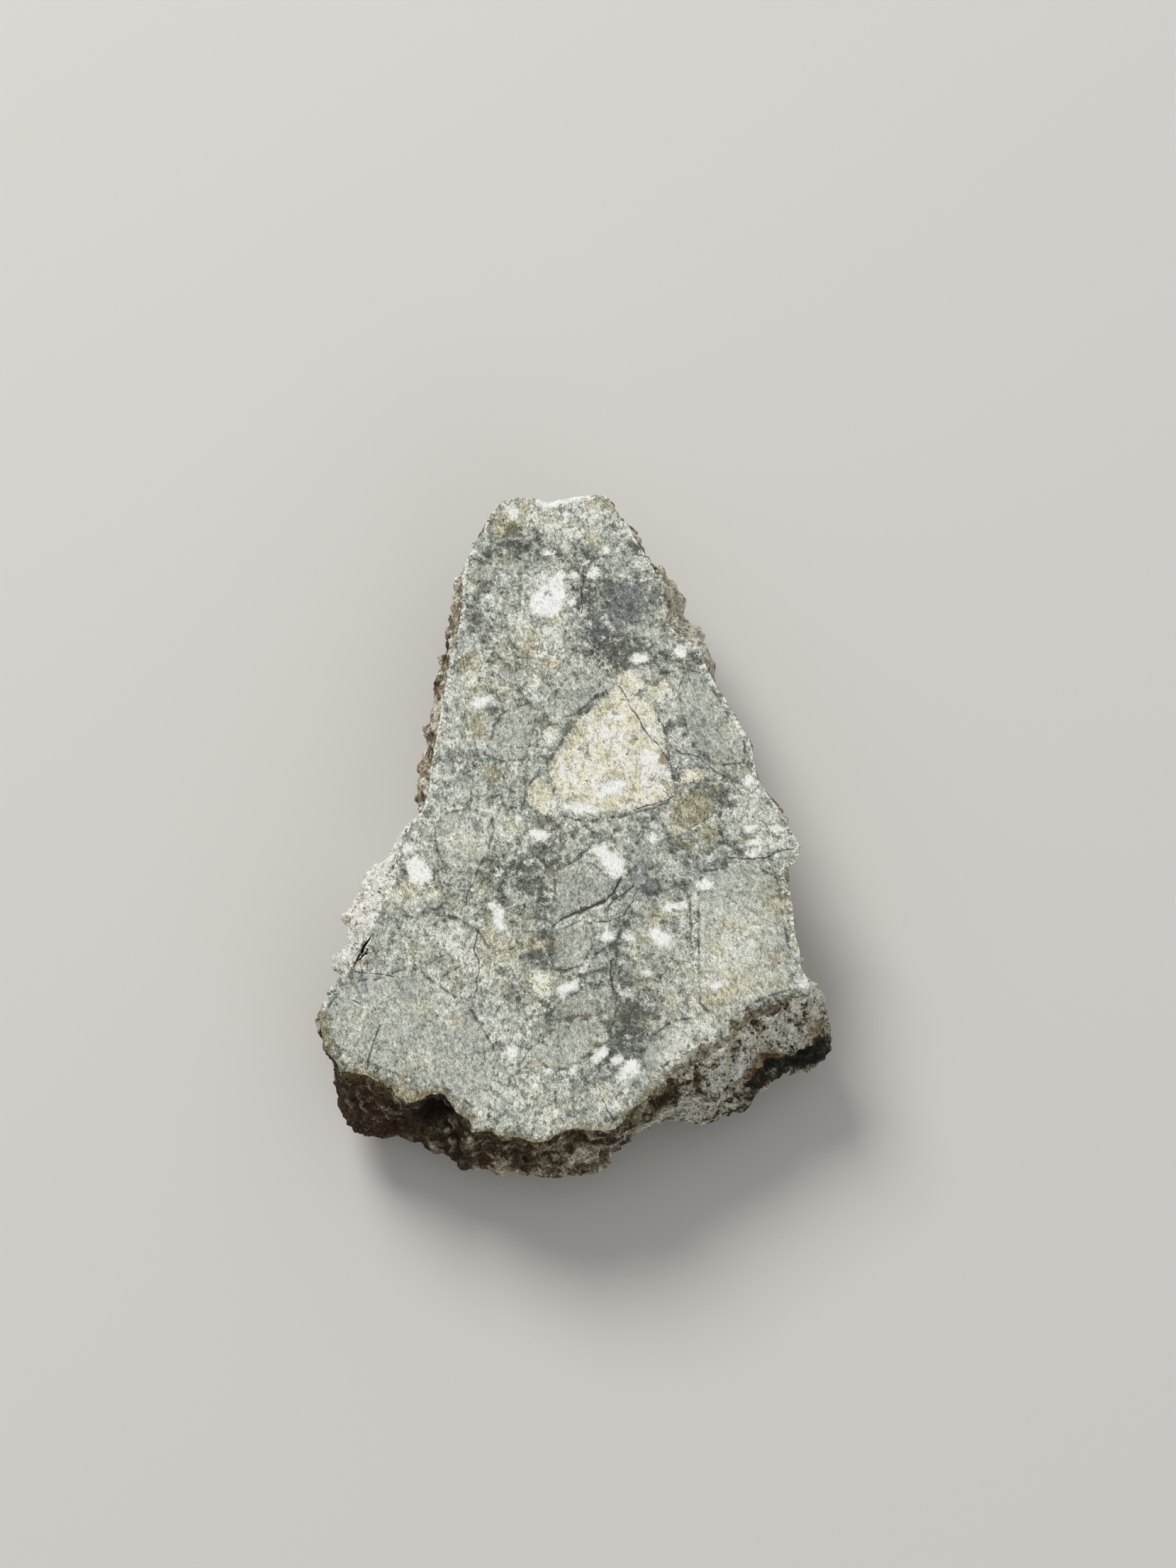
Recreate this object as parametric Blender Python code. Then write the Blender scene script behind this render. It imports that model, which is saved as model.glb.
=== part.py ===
"""A small lunar meteorite: a broken stone of breccia with one sawn face.

The sawn face lies level on top. Below its rim run the broken flanks, with a ledge, lumps and hollows,
and the rough underside carries the small flat spot that the stone rests on. X runs across the stone,
Y runs from its wide end to its narrow end, and Z is up. The origin is under the middle of the stone, at
the height of the flat spot. The script works in millimetres and turns them into metres for the mesh.
"""

import math

import bmesh
import bpy
import numpy as np
from mathutils import Vector, noise
from mathutils.geometry import delaunay_2d_cdt

MM = 0.001

THICKNESS = 4.4  # from the flat spot to the sawn face
STATION = 0.36  # most distance between two points along the rim
UNDERSIDE_PITCH = 0.52  # between the points of the underside
UNDERSIDE_SCATTER = 0.15  # how far those points stray from their even pattern

FLAT_CENTRE = (-0.6, -2.8)
FLAT_RADII = (2.9, 3.4)
FLAT_POINTS = 32
UNDERSIDE_RISE = 0.9  # how far the underside climbs from the flat spot to the foot of the flank
UNDERSIDE_RUN = 4.5  # the distance it climbs over
UNDERSIDE_TAPER = 0.06  # and how much more it climbs for each millimetre towards the narrow end
UNDERSIDE_ROUGH = 0.4
UNDERSIDE_LEAST = 0.05
# Scoops in the underside: where (x, y), their radius and how deep they are
SCOOPS = [
    ((-4.8, -7.4), 1.5, 0.5),
    ((3.4, -7.6), 1.7, 0.45),
    ((-2.6, 3.4), 1.4, 0.45),
    ((2.9, 1.6), 1.2, 0.35),
]

OUTLINE_SOFTENING = 0.75  # how far along the rim a jag is spread out by the belly of the flank
PROFILE_SOFTENING = 0.55  # and how far two neighbouring stretches blend
LUMP_SIZE, LUMP_HEIGHT = 1.9, 0.34
CHIP_SIZE, CHIP_HEIGHT = 0.75, 0.2
DRIFT = 0.12  # how far the roughness moves a point along the flank, so that no rows show
FRACTURE_FADE = 0.55  # the roughness grows to its full height over this depth below the rim

ROCK_COLOUR = (0.23, 0.24, 0.23, 1.0)
ROCK_ROUGHNESS = 0.9

# The levels of a flank, from the rim down, and the rows of faces down to each
LEVELS = ("ledge", "throat", "belly", "foot")
ROWS = {"ledge": 2, "throat": 2, "belly": 3, "foot": 3}

# Stretches of the rim, clockwise seen from above. Each level says how far the flank stands out from the
# rim and how far below it lies. The foot has no depth of its own: the underside sets its height.
STRETCHES = {
    "narrow end": {
        "rim": [(-3.8, 8.3), (-3.5, 8.9), (-3.2, 9.6), (-3.0, 9.9), (-2.4, 10.2), (-1.8, 10.2), (-1.4, 10.0),
                (-0.9, 10.1), (0.1, 10.3), (0.6, 10.3), (0.8, 10.0), (1.0, 9.5), (1.3, 9.2), (1.5, 8.8),
                (1.8, 8.2)],
        "ledge": (0.0, 0.6), "throat": (0.0, 1.3), "belly": (0.05, 1.9), "foot": -0.5,
    },
    "right shoulder": {
        "rim": [(2.0, 7.9), (2.4, 7.1), (2.4, 6.6), (2.5, 6.1), (2.6, 5.7), (2.9, 5.3), (3.3, 5.0),
                (3.6, 4.7)],
        "ledge": (0.5, 0.6), "throat": (0.8, 1.3), "belly": (0.7, 2.2), "foot": 0.0,
    },
    "right side": {
        "rim": [(3.8, 4.2), (4.0, 3.7), (4.3, 3.2), (4.7, 2.5), (5.0, 1.9), (5.2, 1.6), (5.3, 1.0),
                (5.4, 0.3), (5.6, -0.1), (6.0, -0.7), (6.3, -1.3), (6.6, -1.8), (6.8, -2.2), (6.6, -2.7),
                (6.3, -2.9), (6.2, -3.1), (6.4, -3.6), (6.5, -4.2), (6.5, -5.0), (6.7, -5.7), (6.7, -6.2),
                (7.0, -6.8)],
        "ledge": (-0.05, 0.6), "throat": (-0.1, 1.4), "belly": (-0.2, 2.5), "foot": -0.9,
    },
    "right corner": {
        "rim": [(7.1, -7.1), (6.8, -7.2), (6.5, -7.2)],
        "ledge": (1.4, 1.1), "throat": (1.2, 1.6), "belly": (1.9, 2.7), "foot": 0.8,
    },
    "rusty ledge": {
        "rim": [(5.8, -7.7), (5.2, -7.9), (4.7, -8.4), (4.1, -8.9), (3.7, -9.2), (2.9, -9.6)],
        "ledge": (1.15, 1.2), "throat": (0.7, 1.65), "belly": (1.1, 2.75), "foot": 0.2,
    },
    "wide end": {
        "rim": [(2.2, -10.1), (2.0, -10.4), (1.4, -10.9), (1.1, -11.3), (0.8, -11.6), (0.0, -11.6),
                (-0.4, -11.5), (-0.8, -11.6), (-1.2, -11.9), (-1.7, -12.0), (-2.2, -11.8), (-2.7, -11.8),
                (-3.1, -11.6), (-3.7, -11.7)],
        "ledge": (0.1, 0.7), "throat": (0.15, 1.6), "belly": (0.3, 2.8), "foot": -0.5,
    },
    "notched edge": {
        "rim": [(-3.6, -11.4), (-3.8, -11.2), (-4.1, -11.0), (-4.3, -10.7), (-4.5, -10.4), (-4.9, -10.4),
                (-5.2, -10.6), (-5.6, -10.7), (-6.0, -10.5), (-6.1, -10.1), (-6.6, -10.0), (-6.9, -9.8),
                (-7.4, -9.7), (-7.7, -9.7)],
        "ledge": (0.3, 0.8), "throat": (0.4, 1.7), "belly": (0.75, 2.8), "foot": 0.0,
    },
    "left end": {
        "rim": [(-7.9, -9.3), (-8.2, -9.0), (-8.3, -8.6), (-8.4, -8.1), (-8.3, -7.5), (-8.2, -7.0),
                (-8.0, -6.8), (-7.8, -6.5), (-7.5, -6.2)],
        "ledge": (0.0, 0.7), "throat": (0.0, 1.5), "belly": (-0.1, 2.6), "foot": -0.7,
    },
    "left lumps": {
        "rim": [(-6.9, -4.9), (-6.6, -4.2), (-6.4, -3.9), (-6.2, -3.4), (-6.1, -2.5)],
        "ledge": (0.4, 0.6), "throat": (0.8, 1.3), "belly": (1.05, 2.1), "foot": 0.1,
    },
    "left waist": {
        "rim": [(-6.0, -2.0), (-5.8, -1.4), (-5.3, -1.0)],
        "ledge": (0.05, 0.5), "throat": (0.1, 1.2), "belly": (0.1, 2.1), "foot": -0.5,
    },
    "left side": {
        "rim": [(-5.1, -0.2), (-5.0, 0.8), (-4.8, 2.1), (-4.6, 3.5), (-4.4, 4.6),
                (-4.1, 6.0), (-4.1, 7.4), (-4.0, 7.9)],
        "ledge": (0.15, 0.5), "throat": (0.35, 1.2), "belly": (0.4, 2.1), "foot": -0.3,
    },
}

# Single lumps and hollows: where (x, y, depth below the rim), their radius, and how far they stand out
# or reach in
LUMPS = {
    "upper shoulder lump": ((2.8, 7.3, 1.3), 0.55, 0.35),
    "lower shoulder lump": ((3.5, 5.9, 1.4), 0.6, 0.2),
    "corner spur": ((7.6, -8.1, 2.0), 0.6, 0.5),
    "spur under the ledge": ((4.9, -9.7, 2.8), 0.8, 0.35),
    "wide end lump": ((0.0, -11.9, 2.8), 0.7, 0.3),
    "left end lump": ((-7.2, -10.4, 2.8), 0.8, 0.35),
    "first left lump": ((-7.2, -2.6, 1.7), 0.6, 0.3),
    "second left lump": ((-7.6, -3.9, 1.9), 0.6, 0.3),
    "third left lump": ((-7.7, -5.6, 1.8), 0.6, 1.4),
    "left side lump": ((-5.2, 3.4, 1.6), 0.7, 0.15),
    "narrow end lump": ((-1.0, 10.3, 2.4), 1.0, 0.2),
    "right side lump": ((6.4, -5.0, 2.6), 1.1, 0.3),
}
HOLLOWS = {
    "hollow under the notch": ((-4.9, -10.7, 1.2), 0.65, 0.9),
    "gap beside the first left lump": ((-6.9, -3.3, 1.5), 0.35, 0.25),
    "gap beside the second left lump": ((-7.6, -4.7, 1.8), 0.35, 0.25),
    "pit at the wide end": ((1.4, -11.1, 2.4), 0.6, 0.35),
    "pit near the ledge": ((2.2, -10.4, 2.0), 0.5, 0.25),
    "pit under the rusty lip": ((6.2, -8.3, 2.0), 0.5, 0.3),
    "right side hollow": ((5.2, -0.6, 2.2), 0.9, 0.35),
    "narrow end hollow": ((0.9, 9.9, 2.0), 0.7, 0.35),
}


def smooth_step(value):
    """0 up to 0, 1 from 1 on, with soft ends."""
    value = min(max(value, 0.0), 1.0)
    return value * value * (3.0 - 2.0 * value)


def fractal(point, size, octaves=3):
    """Even fractal noise of about -1 to 1, with features of the given size."""
    return noise.fractal(Vector(point) / size, 0.9, 2.1, octaves)


def clear_scene():
    for obj in list(bpy.data.objects):
        bpy.data.objects.remove(obj, do_unlink=True)


def rim_stations():
    """The rim's points, none further apart than STATION, and each one's flank as rows of out and depth."""
    corners, flanks = [], []
    for stretch in STRETCHES.values():
        for corner in stretch["rim"]:
            corners.append(corner)
            foot = (stretch["foot"], THICKNESS)
            flanks.append([stretch["ledge"], stretch["throat"], stretch["belly"], foot])
    points, rows = [], []
    for index, start in enumerate(corners):
        end = corners[(index + 1) % len(corners)]
        steps = max(1, math.ceil(math.dist(start, end) / STATION))
        for step in range(steps):
            share = step / steps
            points.append([a + (b - a) * share for a, b in zip(start, end)])
            rows.append(flanks[index])
    return np.array(points), np.array(rows, dtype=float)


def soften(values, points, reach):
    """Values along the closed rim, averaged with their neighbours by a bell curve of this reach."""
    lengths = np.linalg.norm(np.roll(points, -1, axis=0) - points, axis=1)
    along = np.concatenate([[0.0], np.cumsum(lengths)])
    total, along = along[-1], along[:-1]
    apart = np.abs(along[:, None] - along[None, :])
    apart = np.minimum(apart, total - apart)
    weights = np.exp(-0.5 * (apart / reach) ** 2) * (lengths + np.roll(lengths, 1))[None, :]
    weights /= weights.sum(axis=1, keepdims=True)
    return np.tensordot(weights, values, axes=1)


def outward(points):
    """Unit vectors in XY that point out of a clockwise loop."""
    along = np.roll(points, -1, axis=0) - np.roll(points, 1, axis=0)
    across = np.column_stack([-along[:, 1], along[:, 0]])
    return across / np.linalg.norm(across, axis=1, keepdims=True)


def flat_radius(angle):
    """How far the flat spot reaches from its centre in this direction."""
    along_x, along_y = FLAT_RADII
    plain = along_x * along_y / math.hypot(along_y * math.cos(angle), along_x * math.sin(angle))
    wavy = 0.07 * math.cos(2 * angle + 1.0) + 0.06 * math.cos(3 * angle + 0.4) + 0.03 * math.sin(7 * angle)
    return plain * (1.0 + wavy)


def flat_outline():
    points = []
    for index in range(FLAT_POINTS):
        angle = 2 * math.pi * index / FLAT_POINTS
        radius = flat_radius(angle)
        points.append((FLAT_CENTRE[0] + radius * math.cos(angle), FLAT_CENTRE[1] + radius * math.sin(angle)))
    return points


def off_the_flat(x, y):
    """How far outside the flat spot this place is."""
    dx, dy = x - FLAT_CENTRE[0], y - FLAT_CENTRE[1]
    return math.hypot(dx, dy) - flat_radius(math.atan2(dy, dx))


def underside_height(x, y):
    """Height of the broken underside above the flat spot."""
    off = off_the_flat(x, y)
    if off <= 1e-6:
        return 0.0
    taper = UNDERSIDE_TAPER * max(0.0, y - FLAT_CENTRE[1])
    rise = (UNDERSIDE_RISE + taper) * smooth_step(off / UNDERSIDE_RUN)
    rough = UNDERSIDE_ROUGH * fractal((x, y, 7.0), 1.8)
    scooped = 0.0
    for place, radius, depth in SCOOPS:
        scooped += depth * math.exp(-((math.dist((x, y), place) / radius) ** 2))
    return max(rise + (rough + scooped) * smooth_step(off / 1.2), UNDERSIDE_LEAST * smooth_step(off / 0.5))


def forms_at(point):
    """How far the named lumps and hollows move the flank out at this point."""
    moved = 0.0
    for sign, forms in ((1, LUMPS), (-1, HOLLOWS)):
        for (x, y, depth), radius, height in forms.values():
            apart = math.dist(point, (x, y, -depth)) / radius
            moved += sign * height * math.exp(-(apart**2))
    return moved


def flank_rings():
    """Rings of points in millimetres, from the rim down to the foot, with the sawn face at height 0."""
    rim, rows = rim_stations()
    rows = soften(rows, rim, PROFILE_SOFTENING)
    belly_line = soften(rim, rim, OUTLINE_SOFTENING)  # the outline that the flank's lower rows follow
    away = outward(belly_line)
    rings = [np.column_stack([rim, np.zeros(len(rim))])]
    levels = [np.zeros((len(rim), 2))] + [rows[:, index] for index in range(len(LEVELS))]
    blend = [0.0, 0.35, 0.7, 1.0, 1.0]  # how much of that outline each level has
    for index, level in enumerate(LEVELS):
        above, below = levels[index], levels[index + 1]
        steps = ROWS[level]
        for step in range(1, steps + 1):
            share = step / steps
            out, depth = (above + (below - above) * share).T
            soft = blend[index] + (blend[index + 1] - blend[index]) * share
            line = rim * (1 - soft) + belly_line * soft + away * out[:, None]
            ring = []
            for (x, y), (out_x, out_y), down in zip(line, away, depth):
                fade = smooth_step(down / FRACTURE_FADE)
                place = (x, y, -down)
                push = LUMP_HEIGHT * fractal(place, LUMP_SIZE) + CHIP_HEIGHT * fractal(place, CHIP_SIZE)
                push = push * fade + forms_at(place) * fade
                drift = DRIFT * fade * fractal((x + 20.0, y, -down), CHIP_SIZE)
                moved_x = x + out_x * push - out_y * drift
                moved_y = y + out_y * push + out_x * drift
                ring.append((moved_x, moved_y, -down + drift))
            rings.append(np.array(ring))
    foot = rings[-1]
    foot[:, 2] = [underside_height(x, y) - THICKNESS for x, y in foot[:, :2]]
    # The rows between belly and foot are spread evenly down to where the underside begins.
    belly_row = len(rings) - 1 - ROWS["foot"]
    for step in range(1, ROWS["foot"]):
        share = step / ROWS["foot"]
        row = rings[belly_row + step]
        level = rings[belly_row][:, 2] * (1 - share) + foot[:, 2] * share
        row[:, 2] = level + 0.3 * (row[:, 2] - row[:, 2].mean()) * share * (1 - share)
    return rings


def inside(loop, x, y):
    """Whether a place lies inside a closed loop of XY points."""
    odd = False
    for (ax, ay), (bx, by) in zip(loop, np.roll(loop, -1, axis=0)):
        if (ay > y) != (by > y) and x < (bx - ax) * (y - ay) / (by - ay) + ax:
            odd = not odd
    return odd


def underside_mesh(foot):
    """Points and triangles that close the stone below: the rough part and the flat spot."""
    loop = foot[:, :2]
    points = [Vector(point) for point in loop] + [Vector(point) for point in flat_outline()]
    count, flat_count = len(loop), FLAT_POINTS
    edges = [(index, (index + 1) % count) for index in range(count)]
    edges += [(count + index, count + (index + 1) % flat_count) for index in range(flat_count)]
    row_height = UNDERSIDE_PITCH * math.sqrt(0.75)
    low, high = loop.min(axis=0), loop.max(axis=0)
    for row in range(int((high[1] - low[1]) / row_height) + 1):
        for column in range(int((high[0] - low[0]) / UNDERSIDE_PITCH) + 1):
            x = low[0] + (column + 0.5 * (row % 2)) * UNDERSIDE_PITCH
            y = low[1] + row * row_height
            x += UNDERSIDE_SCATTER * noise.noise(Vector((x, y, 3.0)) * 2.3)
            y += UNDERSIDE_SCATTER * noise.noise(Vector((x, y, 9.0)) * 2.3)
            near_foot = np.linalg.norm(loop - (x, y), axis=1).min() < 0.6 * UNDERSIDE_PITCH
            if off_the_flat(x, y) > 0.5 * UNDERSIDE_PITCH and not near_foot and inside(loop, x, y):
                points.append(Vector((x, y)))
    inside_only = 1
    made, _, faces, *_ = delaunay_2d_cdt(points, edges, [], inside_only, 1e-6)
    if len(made) != len(points):
        raise RuntimeError("the foot of the flank crosses itself")
    heights = [row[2] for row in foot] + [
        underside_height(point.x, point.y) - THICKNESS for point in made[count:]
    ]
    return [(point.x, point.y, height) for point, height in zip(made, heights)], faces


def build_stone():
    rings = flank_rings()
    count = len(rings[0])
    mesh = bmesh.new()
    rows = [[mesh.verts.new(point) for point in ring] for ring in rings]
    for upper, lower in zip(rows, rows[1:]):
        for index in range(count):
            after = (index + 1) % count
            mesh.faces.new((upper[index], upper[after], lower[after], lower[index]))
    mesh.faces.new(rows[0])
    points, faces = underside_mesh(rings[-1])
    below = rows[-1] + [mesh.verts.new(point) for point in points[count:]]
    for face in faces:
        mesh.faces.new([below[index] for index in face])
    bmesh.ops.triangulate(mesh, faces=mesh.faces)
    bmesh.ops.recalc_face_normals(mesh, faces=mesh.faces)
    return mesh


def set_on_origin(mesh):
    """Moves the stone to stand over the origin, in metres."""
    corners = np.array([vert.co for vert in mesh.verts])
    low, high = corners.min(axis=0), corners.max(axis=0)
    middle = Vector(((low[0] + high[0]) / 2, (low[1] + high[1]) / 2, -THICKNESS))
    for vert in mesh.verts:
        vert.co = (vert.co - middle) * MM


def rock_material():
    material = bpy.data.materials.new("meteorite breccia")
    material.use_nodes = True
    shader = material.node_tree.nodes["Principled BSDF"]
    shader.inputs["Base Color"].default_value = ROCK_COLOUR
    shader.inputs["Roughness"].default_value = ROCK_ROUGHNESS
    shader.inputs["Metallic"].default_value = 0.0
    return material


def main():
    clear_scene()
    mesh = build_stone()
    set_on_origin(mesh)
    data = bpy.data.meshes.new("meteorite")
    mesh.to_mesh(data)
    mesh.free()
    data.materials.append(rock_material())
    stone = bpy.data.objects.new("meteorite", data)
    bpy.context.scene.collection.objects.link(stone)


main()
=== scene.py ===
"""The looks of a small lunar meteorite: a broken stone of breccia with one sawn face.

The stone is one closed mesh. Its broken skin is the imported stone's, cut finer, rounded and roughened like
a fresh fracture. Its sawn face is meshed anew, so that the cracks, the pits and the chipped rim are real
shapes. Every corner of the mesh carries how far it lies from the clasts, cracks and stains, in
millimetres, and the materials turn these distances into colour with ragged edges.

Places on the stone are in millimetres in the sawn face's own drawing: x across, y towards the narrow end,
and depth below the sawn face. The drawing's lowest x and y on the sawn face are DRAWING_LOW.
"""
import math

import bmesh
import bpy
import numpy as np
from bpy.props import FloatProperty, FloatVectorProperty, PointerProperty
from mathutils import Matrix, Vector, kdtree, noise
from mathutils.geometry import delaunay_2d_cdt


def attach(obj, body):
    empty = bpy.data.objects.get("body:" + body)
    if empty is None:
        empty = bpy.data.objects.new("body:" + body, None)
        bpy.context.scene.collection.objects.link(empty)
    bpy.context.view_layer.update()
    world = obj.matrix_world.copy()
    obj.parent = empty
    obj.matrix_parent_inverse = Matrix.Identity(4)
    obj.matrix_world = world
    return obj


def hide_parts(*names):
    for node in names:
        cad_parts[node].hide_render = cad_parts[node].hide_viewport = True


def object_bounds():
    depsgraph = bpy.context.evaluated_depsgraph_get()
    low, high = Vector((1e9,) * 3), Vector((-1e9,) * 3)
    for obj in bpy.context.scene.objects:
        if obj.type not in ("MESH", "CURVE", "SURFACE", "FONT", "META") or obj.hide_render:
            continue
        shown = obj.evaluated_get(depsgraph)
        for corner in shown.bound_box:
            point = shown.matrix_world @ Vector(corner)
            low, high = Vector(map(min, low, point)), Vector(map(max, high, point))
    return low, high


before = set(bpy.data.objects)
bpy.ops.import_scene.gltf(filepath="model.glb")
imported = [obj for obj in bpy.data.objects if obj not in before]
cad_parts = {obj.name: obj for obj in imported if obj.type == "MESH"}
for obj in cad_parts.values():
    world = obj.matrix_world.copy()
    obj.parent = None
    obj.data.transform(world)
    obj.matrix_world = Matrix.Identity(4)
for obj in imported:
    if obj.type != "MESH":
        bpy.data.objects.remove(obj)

bl_info = {
    "name": "Lunar meteorite",
    "version": (1, 0, 0),
    "blender": (4, 5, 0),
    "location": "3D View > Sidebar > Meteorite",
    "description": "Dresses a broken stone of lunar breccia with one sawn face",
    "category": "Add Mesh",
}

CAD_LOW, CAD_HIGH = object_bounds()
NODE, BODY, SLOT = "meteorite", "root", "breccia"
MM = 0.001
DRAWING_LOW = (-8.4, -12.0)
FAR = 9.0  # stands for no clast or crack near, in millimetres
SEED = 7  # for the scatter of the mesh points and the waver of the cracks
ON_LEVEL = 1e-3  # how far a corner on a level may be off it, in millimetres
CRACK_PITCH, SLIT_PITCH = 0.068, 0.05  # between the points of a drawn line, in millimetres
FACE_ROUGHNESS, FACE_WAVE = 0.012, 0.006  # relief of the sawn face's grain and slow swells, in millimetres
RIM_BAND, FOOT_BAND = 0.2, 0.3  # millimetres over which the skin's relief fades in, from rim and foot
PIT_CELL, PIT_RADIUS = 0.42, 0.3  # size of a pit's cell in millimetres, and the pit's radius in cells
MOUND_RADIUS = 0.62  # of a round crumb, in cells
CLOSING = 0.8  # how much the clasts close in for each millimetre of depth
NEAR_WHITE = (0.93, 0.93, 0.91)  # the palest colour that grain can make
# Size and place of each soft light, in metres
KEY_LIGHT = (0.16, (-0.13, 0.2, 0.22))
FILL_LIGHT = (0.2, (0.12, -0.22, 0.16))

# Clasts that are cut by the saw: outlines, in millimetres
WHITE_CLASTS = {
    "top": [(-0.9, 7.6), (-0.75, 7.5), (-0.8, 7.2), (-0.7, 6.9), (-0.7, 6.55), (-0.85, 6.15), (-1.1, 5.9),
            (-1.55, 5.9), (-1.95, 6.25), (-1.85, 6.5), (-1.7, 6.75), (-1.5, 7.0), (-1.2, 7.15), (-1.1, 7.35)],
    "left": [(-5.8, -2.65), (-5.45, -2.45), (-5.25, -2.55), (-5.05, -2.85), (-4.95, -3.2), (-5.15, -3.35),
             (-5.35, -3.45), (-5.6, -3.35), (-5.75, -3.0)],
    "centre": [(0.15, -2.2), (0.5, -2.05), (0.65, -2.25), (1.0, -2.45), (1.15, -2.7), (1.25, -3.05),
               (1.05, -3.15), (0.85, -3.2), (0.65, -3.1), (0.45, -2.75), (0.3, -2.5)],
    "below the cream one": [(-1.95, -1.7), (-1.7, -1.55), (-1.3, -1.6), (-1.2, -1.8), (-1.45, -2.0),
                            (-1.7, -1.9)],
    "two lobes": [(-3.0, -4.25), (-2.8, -4.2), (-2.65, -4.35), (-2.7, -4.6), (-2.6, -4.85), (-2.75, -5.0),
                  (-3.05, -4.95), (-2.95, -4.65)],
    "upper in the fragment": [(2.3, -4.25), (2.5, -4.05), (2.8, -4.05), (3.1, -4.0), (3.15, -4.25),
                              (2.75, -4.25), (2.45, -4.4)],
    "lower in the fragment": [(2.05, -4.9), (2.3, -4.9), (2.45, -5.05), (2.7, -5.25), (2.45, -5.5),
                              (2.15, -5.45), (1.95, -5.15)],
    "by the yellow one": [(-0.95, -7.0), (-0.75, -6.8), (-0.4, -6.7), (-0.3, -6.85), (-0.55, -7.05),
                          (-0.8, -7.25)],
    "low left": [(-2.6, -8.95), (-2.4, -8.8), (-2.2, -8.95), (-2.15, -9.2), (-2.45, -9.3)],
    "low streak": [(0.1, -9.3), (0.25, -9.05), (0.5, -8.85), (0.65, -9.0), (0.5, -9.2), (0.25, -9.4)],
    "bottom of the cream one": [(-0.8, -0.75), (-0.4, -0.6), (0.05, -0.7), (0.35, -0.8), (0.2, -1.0),
                                (-0.4, -1.05)],
    "sliver at the narrow end": [(-1.8, 10.3), (-1.75, 10.0), (-1.45, 9.8), (-1.0, 9.85), (-0.6, 10.05),
                                 (0.15, 10.15), (0.15, 10.4), (-0.9, 10.3)],
}
CREAM_CLASTS = {
    "main": [(1.0, 3.55), (0.6, 3.1), (0.1, 2.6), (-0.4, 2.15), (-0.65, 1.7), (-1.0, 1.05), (-1.25, 0.7),
             (-1.15, 0.15), (-1.0, -0.3), (-0.9, -0.85), (-0.25, -1.1), (0.3, -1.0), (1.45, -0.85),
             (1.9, -0.75), (2.4, -0.6), (2.7, -0.4), (2.75, 0.05), (2.6, 0.5), (2.55, 1.0), (2.45, 1.65),
             (2.2, 2.55), (1.9, 3.0), (1.45, 3.15)],
    "upper lobe": [(1.15, 3.95), (1.5, 4.05), (1.75, 3.8), (1.8, 3.35), (1.5, 3.15), (1.1, 3.35),
                   (0.95, 3.65)],
    "upper right": [(1.95, 3.35), (2.2, 3.5), (2.5, 3.65), (2.75, 3.35), (2.7, 3.0), (2.5, 2.8), (2.1, 2.9)],
    "right": [(2.9, 0.3), (3.2, 0.6), (3.45, 0.65), (3.65, 0.45), (3.75, 0.25), (3.6, 0.05), (3.3, 0.0),
              (3.0, 0.05)],
    "round": [(-1.55, 0.35), (-1.25, 0.1), (-1.1, -0.25), (-1.0, -0.7), (-1.0, -1.1), (-1.5, -1.0),
              (-1.85, -0.75), (-1.95, -0.45), (-1.9, -0.05), (-1.75, 0.2)],
    "small": [(-1.45, 1.85), (-1.2, 2.0), (-0.95, 1.8), (-1.0, 1.45), (-1.3, 1.25), (-1.5, 1.55)],
    "left": [(-4.1, 3.85), (-3.8, 4.05), (-3.55, 3.9), (-3.55, 3.5), (-3.8, 3.3), (-4.05, 3.45)],
    "yellow": [(-1.85, -6.5), (-1.55, -6.35), (-1.2, -6.35), (-1.0, -6.6), (-1.05, -7.05), (-1.45, -7.3),
               (-1.75, -7.05), (-1.85, -6.75)],
}
OLIVE_CLASTS = {
    "right": [(3.15, -0.25), (3.6, -0.2), (4.0, -0.45), (4.05, -0.8), (3.7, -1.15), (3.35, -1.45),
              (2.9, -1.5), (2.65, -1.15), (2.7, -0.7)],
    "below the right one": [(3.5, -1.55), (3.95, -1.4), (4.2, -1.55), (4.05, -1.95), (3.65, -2.05)],
    "left spot": [(-3.75, 2.25), (-3.5, 2.4), (-3.35, 2.1), (-3.35, 1.7), (-3.65, 1.6), (-3.8, 1.9)],
    "left patch": [(-3.35, 0.55), (-3.1, 0.65), (-2.8, 0.35), (-2.9, 0.0), (-3.2, -0.05)],
    "corner at the narrow end": [(0.35, 10.5), (0.8, 10.5), (1.1, 10.0), (1.05, 9.6), (0.75, 9.7),
                                 (0.45, 10.0)],
    "mottle at the narrow end": [(-2.75, 9.15), (-2.45, 9.25), (-2.2, 9.0), (-2.3, 8.75), (-2.6, 8.8)],
    "by the white lobes": [(-3.3, -4.3), (-3.1, -4.25), (-3.05, -4.5), (-3.2, -4.7), (-3.35, -4.55)],
}
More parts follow.
